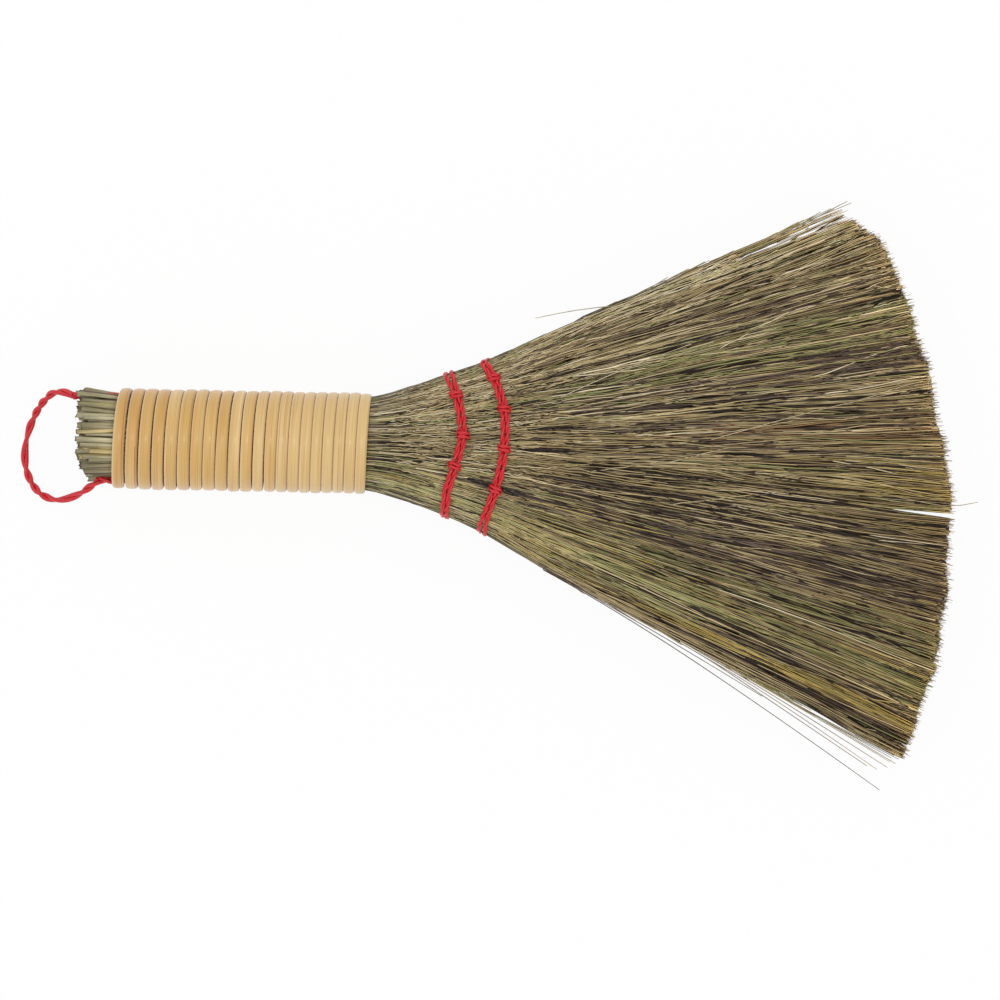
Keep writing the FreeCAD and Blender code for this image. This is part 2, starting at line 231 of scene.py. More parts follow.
# Puts a mesh that was built in millimetres into the frame
def meshOf(name, bm):
    for vert in bm.verts:
        vert.co = vert.co * mm + Vector(origin)
    mesh = bpy.data.meshes.new(name)
    bm.to_mesh(mesh)
    bm.free()
    return mesh


# Red polypropylene twine, spun from split film: hard wet gloss on slanting filaments, painted in a dark red
# of painted shade for the lay, the twine's red, and a pale pink of painted glints
twineFinish = {
    "red": "#CC121F", "deep": "#74040C", "glint": "#F2656B", "filament": 0.26, "lean": 0.35, "plyShift": 1.7,
}
redTwine, tree = newMaterial("spunPolypropylene")
mapNode, u, v = addMap(tree, "twineMap")     # u is millimetres round a ply, v is millimetres along it
lean = addNode(tree, "Math", {0: v, 1: twineFinish["lean"], 2: u}, operation="MULTIPLY_ADD")
stripe = addNode(tree, "CombineXYZ", {"X": lean, "Y": 0.0})
filaments = addNode(tree, "TexNoise", {"Vector": stripe, "Scale": 1 / twineFinish["filament"],
    "Detail": 2.0, "Roughness": 0.6})
patches = addNode(tree, "TexNoise", {"Vector": mapNode, "Scale": 0.35, "Detail": 2.0})
# Filaments run from painted shade through red to painted glints; in patches the plain red takes over
filamentColour = addNode(tree, "ValToRGB", {"Fac": filaments}, stops=[(0.33, twineFinish["deep"]),
    (0.5, twineFinish["red"]), (0.74, twineFinish["glint"])])
glintedColour = addNode(tree, "Mix", {0: patches, 6: filamentColour, 7: linear(twineFinish["red"])},
    data_type="RGBA")
ridges = addNode(tree, "Bump", {"Height": filaments, "Strength": 0.5, "Distance": 0.0001})
shader = addNode(tree, "BsdfPrincipled", {"Base Color": glintedColour, "Roughness": 0.26, "IOR": 1.49,
    "Normal": ridges})
addNode(tree, "OutputMaterial", {"Surface": shader})


def twineMap(twine):
    def rule(tube, ring, side, sides, counts):
        u = side / sides * 2 * math.pi * twine["plyRadius"] + tube * twineFinish["plyShift"]
        return u, ring * twine["step"]
    return rule


def addTwine(name, plies, twine, material, body, replaced):
    radii = [np.full(len(ply), twine["plyRadius"]) for ply in plies]
    mesh = tubeMesh(name, plies, radii, 2, "twineMap", twineMap(twine))
    return addPiece(name, mesh, material, body, replaced)


# Hanging loop: two plies, laid on the same route as the loop's solid
loopTwine = {
    "plies": 2, "plyRadius": 0.75, "plyReach": 0.63, "lay": 14.0, "step": 0.6,
    "unevenness": 1.1, "unevenRun": 31.0,
    "tailEnd": 30.0,            # the loop's two ends run this far under the winding
}
loopRoute = [
    (-2.4, -14.35, 0.0), (-6.2, -17.2, -1.4), (-12.0, -20.6, -5.8), (-19.2, -21.8, -11.0),
    (-25.6, -18.6, -14.8), (-29.6, -11.4, -16.3), (-30.0, -3.0, -16.2), (-27.6, 5.4, -14.2),
    (-23.4, 12.6, -10.0), (-17.4, 16.9, -4.4), (-11.75, 14.35, 0.0),
]
loopLine = smoothLine(loopRoute)
plies, loopPath = twistedPlies(loopLine, loopTwine)
loopPiece = addTwine("hangingLoopTwine", plies, loopTwine, redTwine, "loop", ["hanging_loop"])

# Its two ends, trapped between the stems and the winding
tailPlies = []
for start in (loopRoute[0], loopRoute[-1]):
    tailPlies += twistedPlies(np.linspace(start, (loopTwine["tailEnd"], *start[1:]), 12), loopTwine)[0]
addTwine("loopTailTwine", tailPlies, loopTwine, redTwine, "broom",
    ["upper_loop_tail", "lower_loop_tail"])


# Outline of the bound stems, the same flare, droop and trimmed edge as the solids
fan = {
    "coreRadius": 15.5, "length": 198.8, "upperAngle": 24.3, "lowerAngle": 26.5, "sweep": 9.5,
    "settle": 10.0, "halfThickness": 9.0, "tipHalfThickness": 10.5, "tipPress": 0.5, "droopPower": 1.5,
    "fullness": 2.5, "trimRadius": 193.2, "trimSide": 28.3, "floor": -17.45,
}
trimCentre = (windingLength + fan["length"] - fan["trimRadius"], -fan["trimSide"])
edgeSlopes = [math.tan(math.radians(fan[k])) for k in ("upperAngle", "lowerAngle")]
fanApex = windingLength + fan["sweep"] - 2 * fan["coreRadius"] / sum(edgeSlopes)


def section(x):
    out = np.hypot(np.maximum(0.0, x - windingLength), fan["sweep"]) - fan["sweep"]
    upper = fan["coreRadius"] + edgeSlopes[0] * out
    lower = -fan["coreRadius"] - edgeSlopes[1] * out
    reach = out / (math.hypot(fan["length"], fan["sweep"]) - fan["sweep"])
    neck = 1.0 / (1.0 + (out / fan["settle"]) ** 2)
    half = fan["halfThickness"] + (fan["coreRadius"] - fan["halfThickness"]) * neck
    half = half + (fan["tipHalfThickness"] - fan["halfThickness"]) * reach ** 2
    droop = (fan["floor"] - fan["tipPress"] + fan["tipHalfThickness"]) * reach ** fan["droopPower"]
    fullness = 2.0 + (fan["fullness"] - 2.0) * (1.0 - neck)
    return (upper + lower) / 2, (upper - lower) / 2, droop, half, fullness


def ease(value, start, end):
    share = np.clip((value - start) / (end - start), 0.0, 1.0)
    return share * share * (3 - 2 * share)


# How high the surface stands at a share of the half width, as a share of the half thickness
def riseAt(share, fullness):
    return np.maximum(0.0, 1 - np.abs(share) ** fullness) ** (1 / fullness)


# Dried grass, cut green and sun-dried: dull straw and olive, each stem with painted highlights on its ridges
# and painted shade on its sides
grassTones = [
    (0.00, "#1E160F"), (0.06, "#3A2D21"), (0.12, "#534439"), (0.18, "#746357"), (0.24, "#806E50"),
    (0.32, "#97865F"), (0.40, "#AD9A6F"), (0.48, "#C0AE82"), (0.56, "#D4C39A"), (0.64, "#E8DBBA"),
    (0.70, "#7A5A3D"), (0.75, "#9A7650"), (0.80, "#898B56"), (0.86, "#A5A46C"), (0.90, "#C4BC88"),
    (0.94, "#B29C52"), (1.00, "#D3B869"),
]
grassColumns = 64               # columns of the map, one tone each
columnPart = (0.2, 0.8)         # part of a column that a stem takes up
grassFinish = {
    "mottleAcross": 0.6, "mottle": 4.0, "mottleShadeLow": 0.55, "mottleLightHigh": 1.17,
    "sideShade": 0.12, "paintedRidgeLight": 1.32, "tipLight": 1.9, "tip": "#FFF1DE",
}
driedGrass, tree = newMaterial("sunDriedGrass")
mapNode, u, v = addMap(tree, "OFBake")        # u is the stem's tone and the way round it, v the way along it
tone = addNode(tree, "ValToRGB", {"Fac": u}, stops=grassTones)
tipShare = addNode(tree, "MapRange", {"Value": v, "From Min": 0.3, "From Max": 1.0})
browned = addNode(tree, "Mix", {0: tipShare, 6: tone, 7: linear(grassFinish["tip"])},
    data_type="RGBA", blend_type="MULTIPLY")
# Mottle along each stem: partly the stem's own uneven colour, partly painted light and shade for the lit and
# shaded stretches where stems cross over and under one another.
stretch = addNode(tree, "Mapping", {"Vector": mapNode,
    "Scale": (grassColumns * grassFinish["mottleAcross"], grassFinish["mottle"], 1.0)})
mottle = addNode(tree, "TexNoise", {"Vector": stretch, "Scale": 1.0, "Detail": 3.0, "Roughness": 0.65})
shade = addNode(tree, "MapRange", {"Value": mottle, "From Min": 0.28, "From Max": 0.68,
    "To Min": grassFinish["mottleShadeLow"], "To Max": grassFinish["mottleLightHigh"]})
# A column holds one trip round a stem: painted highlights on ridges at its start, middle and end, and painted
# shade on the sides between them.
roundStem = addNode(tree, "Math", {0: u, 1: float(grassColumns)}, operation="MULTIPLY")
roundStem = addNode(tree, "Math", {0: roundStem}, operation="FRACT")
roundStem = addNode(tree, "MapRange", {"Value": roundStem, "From Min": columnPart[0],
    "From Max": columnPart[1], "To Max": 4 * math.pi})
paintedRidgeLight = addNode(tree, "Math", {0: roundStem}, operation="COSINE")
paintedRidgeLight = addNode(tree, "MapRange", {"Value": paintedRidgeLight, "From Min": -0.6, "From Max": 1.0,
    "To Min": grassFinish["sideShade"], "To Max": grassFinish["paintedRidgeLight"]})
light = addNode(tree, "Math", {0: shade, 1: paintedRidgeLight}, operation="MULTIPLY")
# Painted light over the last tenth of each stem, so that the cut ends read lit.
paintedTipLight = addNode(tree, "MapRange",
    {"Value": v, "From Min": 0.9, "From Max": 1.0, "To Min": 1.0, "To Max": grassFinish["tipLight"]})
light = addNode(tree, "Math", {0: light, 1: paintedTipLight}, operation="MULTIPLY")
grassColour = addNode(tree, "Mix", {0: 1.0, 6: browned, 7: light}, data_type="RGBA",
    blend_type="MULTIPLY")
shader = addNode(tree, "BsdfPrincipled", {"Base Color": grassColour, "Roughness": 0.5, "IOR": 1.45,
    "Specular IOR Level": 0.4})
addNode(tree, "OutputMaterial", {"Surface": shader})

stems = {
    "bundles": 5,
    "borders": (-1.0, -0.6, -0.2, 0.2, 0.6, 1.0),       # edges of the bundles, in half widths of the fan
    # Strands in each bundle: long ones from the neck, short ones over them, fine tips inside
    "kinds": {
        "long": {"count": 420, "points": 16, "starts": (82.0, 88.0), "length": None, "depth": (0.78, 0.97)},
        "short": {"count": 1300, "points": 11, "starts": (84.0, 272.0), "length": (34.0, 78.0),
                  "depth": (0.86, 1.0)},
        "tips": {"count": 700, "points": 5, "starts": (200.0, 262.0), "length": None, "depth": (0.0, 0.93)},
    },
    # Fill of the cut face, for each bundle
    "cutFace": {"count": 1050, "points": 4, "starts": (236.0, 262.0), "length": None, "depth": (0.0, 0.95)},
    "pool": 12,                 # places drawn for each strand, from which the wide parts take more
    "widest": 285.0, "neckShare": 0.12,
    "neckRadius": 0.30, "tipRadius": 0.245, "radiusRange": (0.65, 1.35),
    # Dark stems are thin, so they show as lines: partly dark stems, partly painted shade for the gaps between
    # stems
    "darkTone": 0.1, "darkRadius": 0.72,                # dark stems are thin, and show as lines
    "wave": 0.45, "crimp": 0.21, "crimpedSide": (-0.5, -0.1),       # the lower half lies straighter
    "lean": 0.8, "farLean": 2.8, "farShare": 0.35, "limit": 0.995,
    # Tufts of strands that run together, tuftWidth as a share of the half width
    "tuftWidth": 1 / 50, "tuftLayers": 4, "tuftRun": (60, 105), "tuftTrim": 1.8, "tuftShift": 0.35,
    "tuftRise": 0.25, "gathered": 0.4,
    # Long edges: closed through the thickness, the upper one sparse towards the tips
    "closedEdge": 0.88, "closedDepth": 0.97, "drawnEdge": 0.918, "drawnShare": 0.95, "drawn": (0.06, 0.3),
    "sparseEdge": 0.925, "sparseTuft": 0.025, "sparseGathered": 0.9, "earlyShare": 0.62, "early": (8, 45),
    "ragged": 0.8, "hairShare": 0.14, "hairs": (0.3, 2.0),          # cut ends, and single hairs beyond them
    "nearTip": 14, "shortest": 12, "sunkStart": 0.15, "sunkEnd": 0.12, "bob": 0.12,
    "taperStart": 0.45, "taperCut": 0.85, "taperHair": 0.7, "taperEnd": 0.3,
    # Where each of these sets in and is full, in millimetres from the winding
    "waveRun": (2, 60), "gatherRun": (20, 110), "leanRun": (-4, 25), "drawnRun": (45, 140),
    "crimpRun": (-2, 12), "bobRun": (48, 80), "looseRun": (1, 14),
    # Locks of each bundle, parted by hollows as in the solids
    "lockBorders": ((0.31, 0.66), (0.37, 0.70), (0.30, 0.62), (0.36, 0.69), (0.33, 0.65)),
    "lockHollow": 1.4, "lockStart": 50.0, "lockFull": 95.0,
    "slitPlace": -0.155, "slitStart": 267.5, "slitLength": 21.0, "slitWidth": 1.5, "slitDraw": 12.0,
    # Cut edge of the fan, from the -Y edge to the +Y edge: millimetres beyond the plain arc
    "trimPlaces": (-1.0, -0.9, -0.78, -0.67, -0.5, -0.4, -0.3, -0.2, -0.07, 0.0, 0.05, 0.15, 0.3, 0.35,
                   0.42, 0.55, 0.65, 0.75, 0.83, 0.88, 0.95, 1.0),
    "trimSteps": (0.8, 0.8, -0.3, 1.6, 0.0, 0.8, -0.6, 0.2, 1.2, 0.0, 0.8, -0.9, 0.2, 0.8,
                  -0.2, 1.4, 1.6, 2.2, 1.6, -1.5, -2.5, -3.0),
    # Sides of the fan: millimetres outside the plain outline, pinched under the stitching
    "sidePlaces": (90.0, 97.0, 106.0, 116.0, 126.0, 136.0, 150.0, 165.0, 215.0, 240.0),
    "upperSteps": (0.2, 1.0, 1.2, 0.7, -0.3, -0.3, 0.2, 1.0, 1.2, 1.5),
    "lowerSteps": (0.4, 1.4, 0.8, -0.2, -1.1, -0.7, 0.6, 1.1, 0.8, 0.8),
    "lowerCorner": 1.1,         # the lower corner of the tips is drawn out this much
}
# Tones of single strands, and the shares of dark and of green ones; the near-black ones are partly dark
# stems, partly painted shade for the gaps between stems
toneSet = {
    "usual": 0.405, "neck": 0.06, "neckRun": (100, 165), "upper": 0.11, "upperRun": (110, 190), "tuft": 0.14,
    "scatter": 0.105, "plain": (0.02, 0.64), "darkShare": 0.25, "darkLower": 0.10, "darkTips": (0.03, 0.09),
    "darkRun": (150, 240), "darkEdge": (0.1, 0.9), "dark": (0.0, 0.09),
    "greenFrom": 0.95, "green": (0.80, 0.90),
}
# Colour runs in streaks: middle, half width, from x to x, share of the strands, low and high tone.
# Middles and half widths are in half widths of the fan.
grassStreaks = [
    (0.52, 0.10, 175, 300, 0.55, 0.79, 0.88), (0.50, 0.08, 125, 180, 0.25, 0.82, 0.90),
    (0.385, 0.06, 150, 300, 0.5, 0.10, 0.20), (0.62, 0.02, 150, 300, 0.5, 0.0, 0.1),
    (0.75, 0.25, 140, 300, 0.2, 0.16, 0.26), (0.96, 0.05, 120, 300, 0.5, 0.85, 0.90),
    (0.15, 0.15, 150, 300, 0.2, 0.10, 0.20), (0.12, 0.06, 190, 300, 0.25, 0.70, 0.75),
    (-0.42, 0.10, 130, 300, 0.4, 0.10, 0.21), (-0.60, 0.08, 150, 300, 0.25, 0.79, 0.86),
    (-0.75, 0.07, 170, 300, 0.4, 0.79, 0.87), (-0.89, 0.026, 185, 300, 0.85, 0.94, 1.0),
    (-0.85, 0.15, 95, 200, 0.25, 0.86, 0.90), (-0.935, 0.014, 180, 300, 0.45, 0.02, 0.12),
    (-0.98, 0.03, 150, 300, 0.5, 0.40, 0.50), (-0.08, 0.07, 240, 300, 0.34, 0.91, 0.97),
    (-0.27, 0.05, 150, 300, 0.3, 0.02, 0.1), (-0.6, 0.35, 80, 150, 0.25, 0.85, 0.90),
    (-0.7, 0.25, 80, 170, 0.12, 0.905, 0.93), (0.3, 0.05, 120, 190, 0.4, 0.06, 0.16),
    (-0.68, 0.25, 80, 185, 0.26, 0.905, 0.95), (0.97, 0.06, 150, 300, 0.6, 0.54, 0.66),
    # painted shade: near-black strands in the partings that the outer stitches leave behind them
    (-0.43, 0.03, 132, 172, 0.7, 0.0, 0.10), (0.0, 0.026, 128, 172, 0.9, 0.0, 0.06),
    (0.405, 0.018, 132, 160, 0.7, 0.0, 0.1),
]


def strandTones(rng, across, x, tuftTone):
    count = len(across)
    usual = toneSet["usual"] + toneSet["neck"] * (1 - ease(x, *toneSet["neckRun"]))
    usual = usual + toneSet["upper"] * across * ease(x, *toneSet["upperRun"])
    usual = usual + toneSet["tuft"] * (tuftTone - 0.5)
    tones = np.clip(usual + rng.normal(0, toneSet["scatter"], count), *toneSet["plain"])
    pick = rng.random(count)
    atTips = toneSet["darkTips"][0] + toneSet["darkTips"][1] * ease(-across, *toneSet["darkEdge"])
    darkShare = toneSet["darkShare"] - toneSet["darkLower"] * across + ease(x, *toneSet["darkRun"]) * atTips
    tones = np.where(pick < darkShare, rng.uniform(*toneSet["dark"], count), tones)
    tones = np.where(pick > toneSet["greenFrom"], rng.uniform(*toneSet["green"], count), tones)
    for middle, half, fromX, toX, share, low, high in grassStreaks:
        strength = share * np.clip(1.4 - np.abs(across - middle) / half, 0.0, 1.0) * (x > fromX) * (x < toX)
        tones = np.where(rng.random(count) < strength, rng.uniform(low, high, count), tones)
    return tones


# How far one of the stems' effects has set in at x
def setIn(x, run):
    return ease(x - windingLength, *stems[run])


# How far the fan's real sides lie outside the plain outline
def edgeStep(x, share, pinch=0.0):
    upper = np.interp(x, stems["sidePlaces"], stems["upperSteps"]) - pinch
    lower = np.interp(x, stems["sidePlaces"], stems["lowerSteps"]) - pinch
    return upper * ease(share, 0.5, 1.0) - lower * ease(-share, 0.5, 1.0)


# Depth of the hollows between locks, where share is the place across the fan
def lockHollow(number, share, x):
    borders = np.array((0.0, *stems["lockBorders"][number], 1.0))
    low, high = stems["borders"][number:number + 2]
    place = np.clip((share - low) / (high - low), 0.0, 0.9999)
    lock = np.searchsorted(borders, place, "right") - 1
    aside = 2 * (place - borders[lock]) / (borders[lock + 1] - borders[lock]) - 1
    atEdge = (lock == 0) if number == 0 else (lock == 2) if number == stems["bundles"] - 1 else lock < 0
    toEdge = (1 + aside) / 2 if number == 0 else (1 - aside) / 2
    fromStart = x - windingLength - stems["lockStart"]
    grown = np.clip(fromStart / (stems["lockFull"] - stems["lockStart"]), 0.0, 1.0)
    return stems["lockHollow"] * grown * np.where(atEdge, toEdge, aside) ** 2


# Where the cut edge, so far from its centre, meets the strands at a place across the fan
def trimmedAt(share, reach):
    x = np.full(len(share), windingLength + fan["length"])
    for settle in range(30):
        middle, half = section(x)[:2]
        aside = middle + half * share - trimCentre[1]
        x = trimCentre[0] + np.sqrt(np.maximum(1.0, reach ** 2 - aside ** 2))
    return x


# Lines, radii and tones of strands. Dark ones are thinner, lines that are partly painted shade between the
# stems.
def strandLists(x, y, z, radius, tones):
    fine = np.where(tones < stems["darkTone"], stems["darkRadius"], 1.0)[:, None]
    return list(np.stack((x, y, z), axis=2)), list(radius * fine), list(tones)


def bundleStrands(number, kind):
    rng = np.random.default_rng(40 + number + 10 * kind["points"])
    count = kind["count"]
    across = rng.uniform(*stems["borders"][number:number + 2], count)
    depth = rng.uniform(*kind["depth"], count) * rng.choice((-1, 1), count)
    closed = rng.uniform(-stems["closedDepth"], stems["closedDepth"], count)
    depth = np.where(np.abs(across) > stems["closedEdge"], closed, depth)
    isDrawn = (rng.random(count) < stems["drawnShare"]) | (kind is stems["cutFace"])
    drawn = isDrawn * (across > stems["drawnEdge"]) * rng.uniform(*stems["drawn"], count)
    if kind["length"]:          # as many to each square millimetre everywhere, and some more in the neck
        pool = rng.uniform(*kind["starts"], stems["pool"] * count)
        room = section(pool)[1] / section(np.array(stems["widest"]))[1]
        starts = pool[rng.random(len(pool)) < stems["neckShare"] + (1 - stems["neckShare"]) * room][:count]
    else:
        starts = rng.uniform(*kind["starts"], count)
    # Strands of a tuft share their waves and their cut, and lean together.
    tuftCount = int(2 / stems["tuftWidth"])
    tufts = (stems["tuftLayers"], tuftCount)
    tuftRng = np.random.default_rng(7)
    tuftPhase = tuftRng.uniform(0, 2 * math.pi, tufts)
    tuftRun = tuftRng.uniform(*stems["tuftRun"], tufts)
    tuftTrim = tuftRng.random(tufts) ** 2 * stems["tuftTrim"]
    tuftTone = tuftRng.random(tufts)
    tuftShift = tuftRng.normal(0, stems["tuftShift"], tufts)
    tuftRise = tuftRng.normal(0, stems["tuftRise"], tufts)
    column = np.clip(((across + 1) / 2 * tuftCount).astype(int), 0, tuftCount - 1)
    layer = np.clip(((depth + 1) / 2 * tufts[0]).astype(int), 0, tufts[0] - 1)
    tuft = (layer, column)
    centre = (2 * (column + 0.5) / tuftCount - 1) + tuftShift[tuft] / tuftCount
    leansFar = rng.random(count) < stems["farShare"]
    lean = np.where(leansFar, rng.normal(0, stems["farLean"], count), rng.normal(0, stems["lean"], count))
    isSparse = across > stems["sparseEdge"]
    drift = lean / section(starts + 40)[1] * np.where(isSparse, 0.2, 1.0)
    gathered = np.where(isSparse, stems["sparseGathered"], stems["gathered"])
    edgeColumn = np.floor((across - stems["sparseEdge"]) / stems["sparseTuft"]) + 0.5
    centre = np.where(isSparse, stems["sparseEdge"] + edgeColumn * stems["sparseTuft"], centre)
    tipShare = across + gathered * (centre - across) + drift - drawn
    tipShare = np.clip(tipShare, -stems["limit"], stems["limit"])
    reach = fan["trimRadius"] + np.interp(tipShare, stems["trimPlaces"], stems["trimSteps"])
    isHair = rng.random(count) < stems["hairShare"]
    reach = reach - tuftTrim[tuft] - rng.exponential(stems["ragged"], count)
    reach = reach + isHair * (tuftTrim[tuft] + rng.uniform(*stems["hairs"], count))
    endsEarly = (tipShare > stems["sparseEdge"]) * (rng.random(count) < stems["earlyShare"])
    reach = reach - endsEarly * rng.uniform(*stems["early"], count)
    tip = trimmedAt(tipShare, reach)
    end = tip
    if kind["length"]:
        end = starts + rng.uniform(*kind["length"], count) * (0.75 + 0.25 * ease(starts, 95, 140))
        end = np.where(end > tip - stems["nearTip"], tip, end)
    starts = np.minimum(starts, end - stems["shortest"])
    atTip = end == tip
    along = np.linspace(0, 1, kind["points"])[None, :]
    if kind is stems["kinds"]["long"]:
        along = along ** 1.35   # closer points in the neck
    x = starts[:, None] + (end - starts)[:, None] * along
    middle, half, height, thick, fullness = section(x)
    share = across[:, None] + (gathered * (centre - across))[:, None] * setIn(x, "gatherRun")
    share = share + drift[:, None] * ease(along, 0.0, 1.0) * setIn(x, "leanRun")
    share = np.clip(share - drawn[:, None] * setIn(x, "drawnRun"), -stems["limit"], stems["limit"])
    # Ends that are not at the winding or at the tips sink in among the other strands.
    sunk = 1 - stems["sunkStart"] * (1 - ease(along, 0.0, 0.3)) * (starts > windingLength)[:, None]
    sunk = sunk - stems["sunkEnd"] * ease(along, 0.75, 1.0) * (~atTip)[:, None]
    level = depth[:, None] * sunk
    radius = stems["neckRadius"] + (stems["tipRadius"] - stems["neckRadius"]) * ease(x, windingLength, 270)
    radius = radius * rng.uniform(*stems["radiusRange"], count)[:, None]
    wave = stems["wave"] * np.sin(2 * math.pi * x / tuftRun[tuft][:, None] + tuftPhase[tuft][:, None])
    crimp = rng.normal(0, stems["crimp"], x.shape) * (1 - 0.6 * ease(x, 140, 220))
    crimp = crimp * (0.4 + 0.6 * ease(across, *stems["crimpedSide"]))[:, None]
    y = middle + (half - radius) * share + wave * setIn(x, "waveRun") + crimp * setIn(x, "crimpRun")
    y = y + edgeStep(x, share) - stems["lowerCorner"] * ease(x, 247, 258) * (share < -0.955)
    # Strands keep to their own side of the open slit, and draw there over the last stretch before it.
    opened = np.clip((x - stems["slitStart"]) / stems["slitLength"], 0.0, 1.2) ** 0.7
    before = 1 - ease(x, stems["slitStart"] - 40, stems["slitStart"] - 4)
    opening = stems["slitWidth"] / 2 * opened + radius - stems["slitDraw"] * before
    border = middle + stems["slitPlace"] * half
    isBelow = (tipShare < stems["slitPlace"])[:, None]
    y = np.where(isBelow, np.minimum(y, border - opening), np.maximum(y, border + opening))
    bob = tuftRise[tuft][:, None] + rng.normal(0, stems["bob"], x.shape)
    bob = bob * setIn(x, "bobRun")
    lift = np.maximum(0.0, (thick - radius) * riseAt(share, fullness) - lockHollow(number, share, x))
    z = np.maximum(height + level * lift + bob, fan["floor"] + radius)
    taper = np.ones(x.shape)
    taper[:, 0] = np.where(starts > windingLength, stems["taperStart"], 1.0)
    taper[:, -1] = np.where(atTip & ~isHair, stems["taperCut"], stems["taperEnd"])
    taper[:, -2] = np.where(isHair & atTip, stems["taperHair"], 1.0)
    tones = strandTones(rng, across, (starts + end) / 2, tuftTone[tuft])
    return strandLists(x, y, z, radius * taper, tones)


# Crinkled strands lying over the bundles and across each other, with both ends tucked in
looseStems = {
    "neckStems": {"seed": 61, "count": 1250, "points": 18, "starts": (85.0, 135.0), "length": (20.0, 40.0),
                  "lean": (1.2, 3.6), "level": (0.94, 1.01)},
    "fanStems": {"seed": 62, "count": 1300, "points": 15, "starts": (118.0, 226.0), "length": (30.0, 58.0),
                 "lean": (1.5, 4.5), "level": (0.96, 1.01)},
}
looseSet = {
    "crossing": 0.4, "radius": (0.17, 0.31), "crimp": 0.2, "limit": 0.985, "tuck": 0.13,
    "sides": (0.42, 0.58),      # shares at the back and in front
}


def looseStrands(loose):
    rng = np.random.default_rng(loose["seed"])
    count = loose["count"]
    pool = rng.uniform(*loose["starts"], stems["pool"] * count)
    widest = section(np.array(loose["starts"][1]))[1]
    starts = pool[rng.random(len(pool)) < section(pool)[1] / widest][:count]
    across = rng.uniform(-1, 1, count)
    end = np.minimum(starts + rng.uniform(*loose["length"], count), stems["slitStart"] - 2)
    end = np.minimum(end, trimmedAt(across, fan["trimRadius"] - 12 - 30 * ease(across, 0.85, 0.95)))
    starts = np.minimum(starts, end - 15)
    along = np.linspace(0, 1, loose["points"])[None, :]
    x = starts[:, None] + (end - starts)[:, None] * along
    middle, half, height, thick, fullness = section(x)
    crossing = rng.random(count) < looseSet["crossing"]
    lean = np.where(crossing, rng.normal(0, loose["lean"][1], count), rng.normal(0, loose["lean"][0], count))
    crimped = ease(across, *stems["crimpedSide"])
    lean = lean * (0.45 + 0.55 * crimped)
    free = setIn(x, "looseRun")
    share = across[:, None] + lean[:, None] / half * (along - 0.5) * free
    share = np.clip(share, -looseSet["limit"], looseSet["limit"])
    radius = rng.uniform(*looseSet["radius"], count)[:, None] * np.ones(x.shape)
    crimp = rng.normal(0, looseSet["crimp"], x.shape) * (1 - 0.5 * ease(x, 140, 220))
    crimp = crimp * (0.4 + 0.6 * crimped)[:, None]
    y = middle + (half - radius) * share + crimp * free + edgeStep(x, share)
    tucked = looseSet["tuck"] * (1 - ease(along, 0.0, 0.2) + ease(along, 0.8, 1.0))
    level = rng.uniform(*loose["level"], count)[:, None] - tucked
    level = np.where(x < windingLength + 3, np.minimum(level, 0.96), level)
    hollow = np.zeros(x.shape)
    for number in range(stems["bundles"]):
        inside = (share >= stems["borders"][number]) & (share <= stems["borders"][number + 1])
        hollow = np.where(inside, lockHollow(number, share, x), hollow)
    side = rng.choice((-1, 1), count, p=looseSet["sides"])[:, None]
    z = height + side * level * np.maximum(0.0, (thick - radius) * riseAt(share, fullness) - hollow)
    z = np.maximum(z + rng.normal(0, 0.1, x.shape) * free, fan["floor"] + radius)
    radius[:, 0] *= 0.5
    radius[:, -1] *= 0.4
    tones = strandTones(rng, across, (starts + end) / 2, rng.random(count))
    return strandLists(x, y, z, radius, tones)


# Loose strands of some bundles, outside the fan's edge or lying across it: four places in x and y, and a tone
strays = {
    0: [((150, -42.0), (178, -56.6), (235.4, -93.6), (267.0, -115.4), 0.18),
        ((165, -49.0), (199.2, -66.2), (232, -87.5), (262.5, -107.2), 0.3),
        ((172, -52.2), (206.1, -69.4), (240, -87.6), (272.4, -106.3), 0.86),
        ((180, -56.0), (211.3, -72.9), (240, -89.6), (269.7, -107.7), 0.4),
        ((186, -59.0), (214, -74.0), (242, -89.0), (271.0, -104.4), 0.45),
        ((190, -61.0), (220, -77.4), (246, -91.4), (273.5, -104.8), 0.32),
        ((150, -41.4), (172, -53.4), (200, -68.8), (226.0, -84.0), 0.2),
        ((176, -54.6), (208, -71.6), (238, -89.6), (266.0, -108.4), 0.55),
        ((194, -63.0), (222, -78.6), (248, -92.6), (270.6, -105.8), 0.5),
        ((200, -66.4), (226, -80.2), (250, -93.0), (272.0, -103.6), 0.28)],
    2: [((206.4, 3.5), (228, 10.2), (250, 16.4), (271.2, 21.3), 0.6),
        ((262, -13.0), (281, -17.0), (291, -17.8), (298.0, -16.0), 0.5)],
    3: [((154.7, 16.9), (168, 23.4), (184, 30.2), (198.9, 36.0), 0.62)],
    4: [((205, 64.6), (225, 73.4), (240, 80.0), (253.4, 85.9), 0.88),
        ((212, 67.0), (228, 74.6), (240, 79.4), (250.0, 83.6), 0.5),
        ((174, 49.0), (164, 47.8), (155, 46.2), (145.6, 44.0), 0.6)],
}


# Short hairs that stand off the fan's two long edges
frays = {
    "count": 26, "starts": (150.0, 238.0), "length": (10.0, 26.0), "off": (0.3, 1.5),
    "tones": (0.2, 0.35, 0.5, 0.87), "curl": (-2.0, -0.6, 0.5, 1.0), "least": 0.8, "step": 6.0,
    "radius": (0.18, 0.11), "above": 0.1,
}


def edgeFrays(number):
    rng = np.random.default_rng(80 + number)
    side = 1 if number else -1
    made = []
    for start in rng.uniform(*frays["starts"], frays["count"]):
        places = start + rng.uniform(*frays["length"]) * np.linspace(0, 1, 4)
        middle, half = section(places)[:2]
        off = rng.uniform(*frays["off"]) * np.array(frays["curl"]) + frays["least"]
        made.append((*zip(places, middle + side * (half + off)), rng.choice(frays["tones"])))
    return made


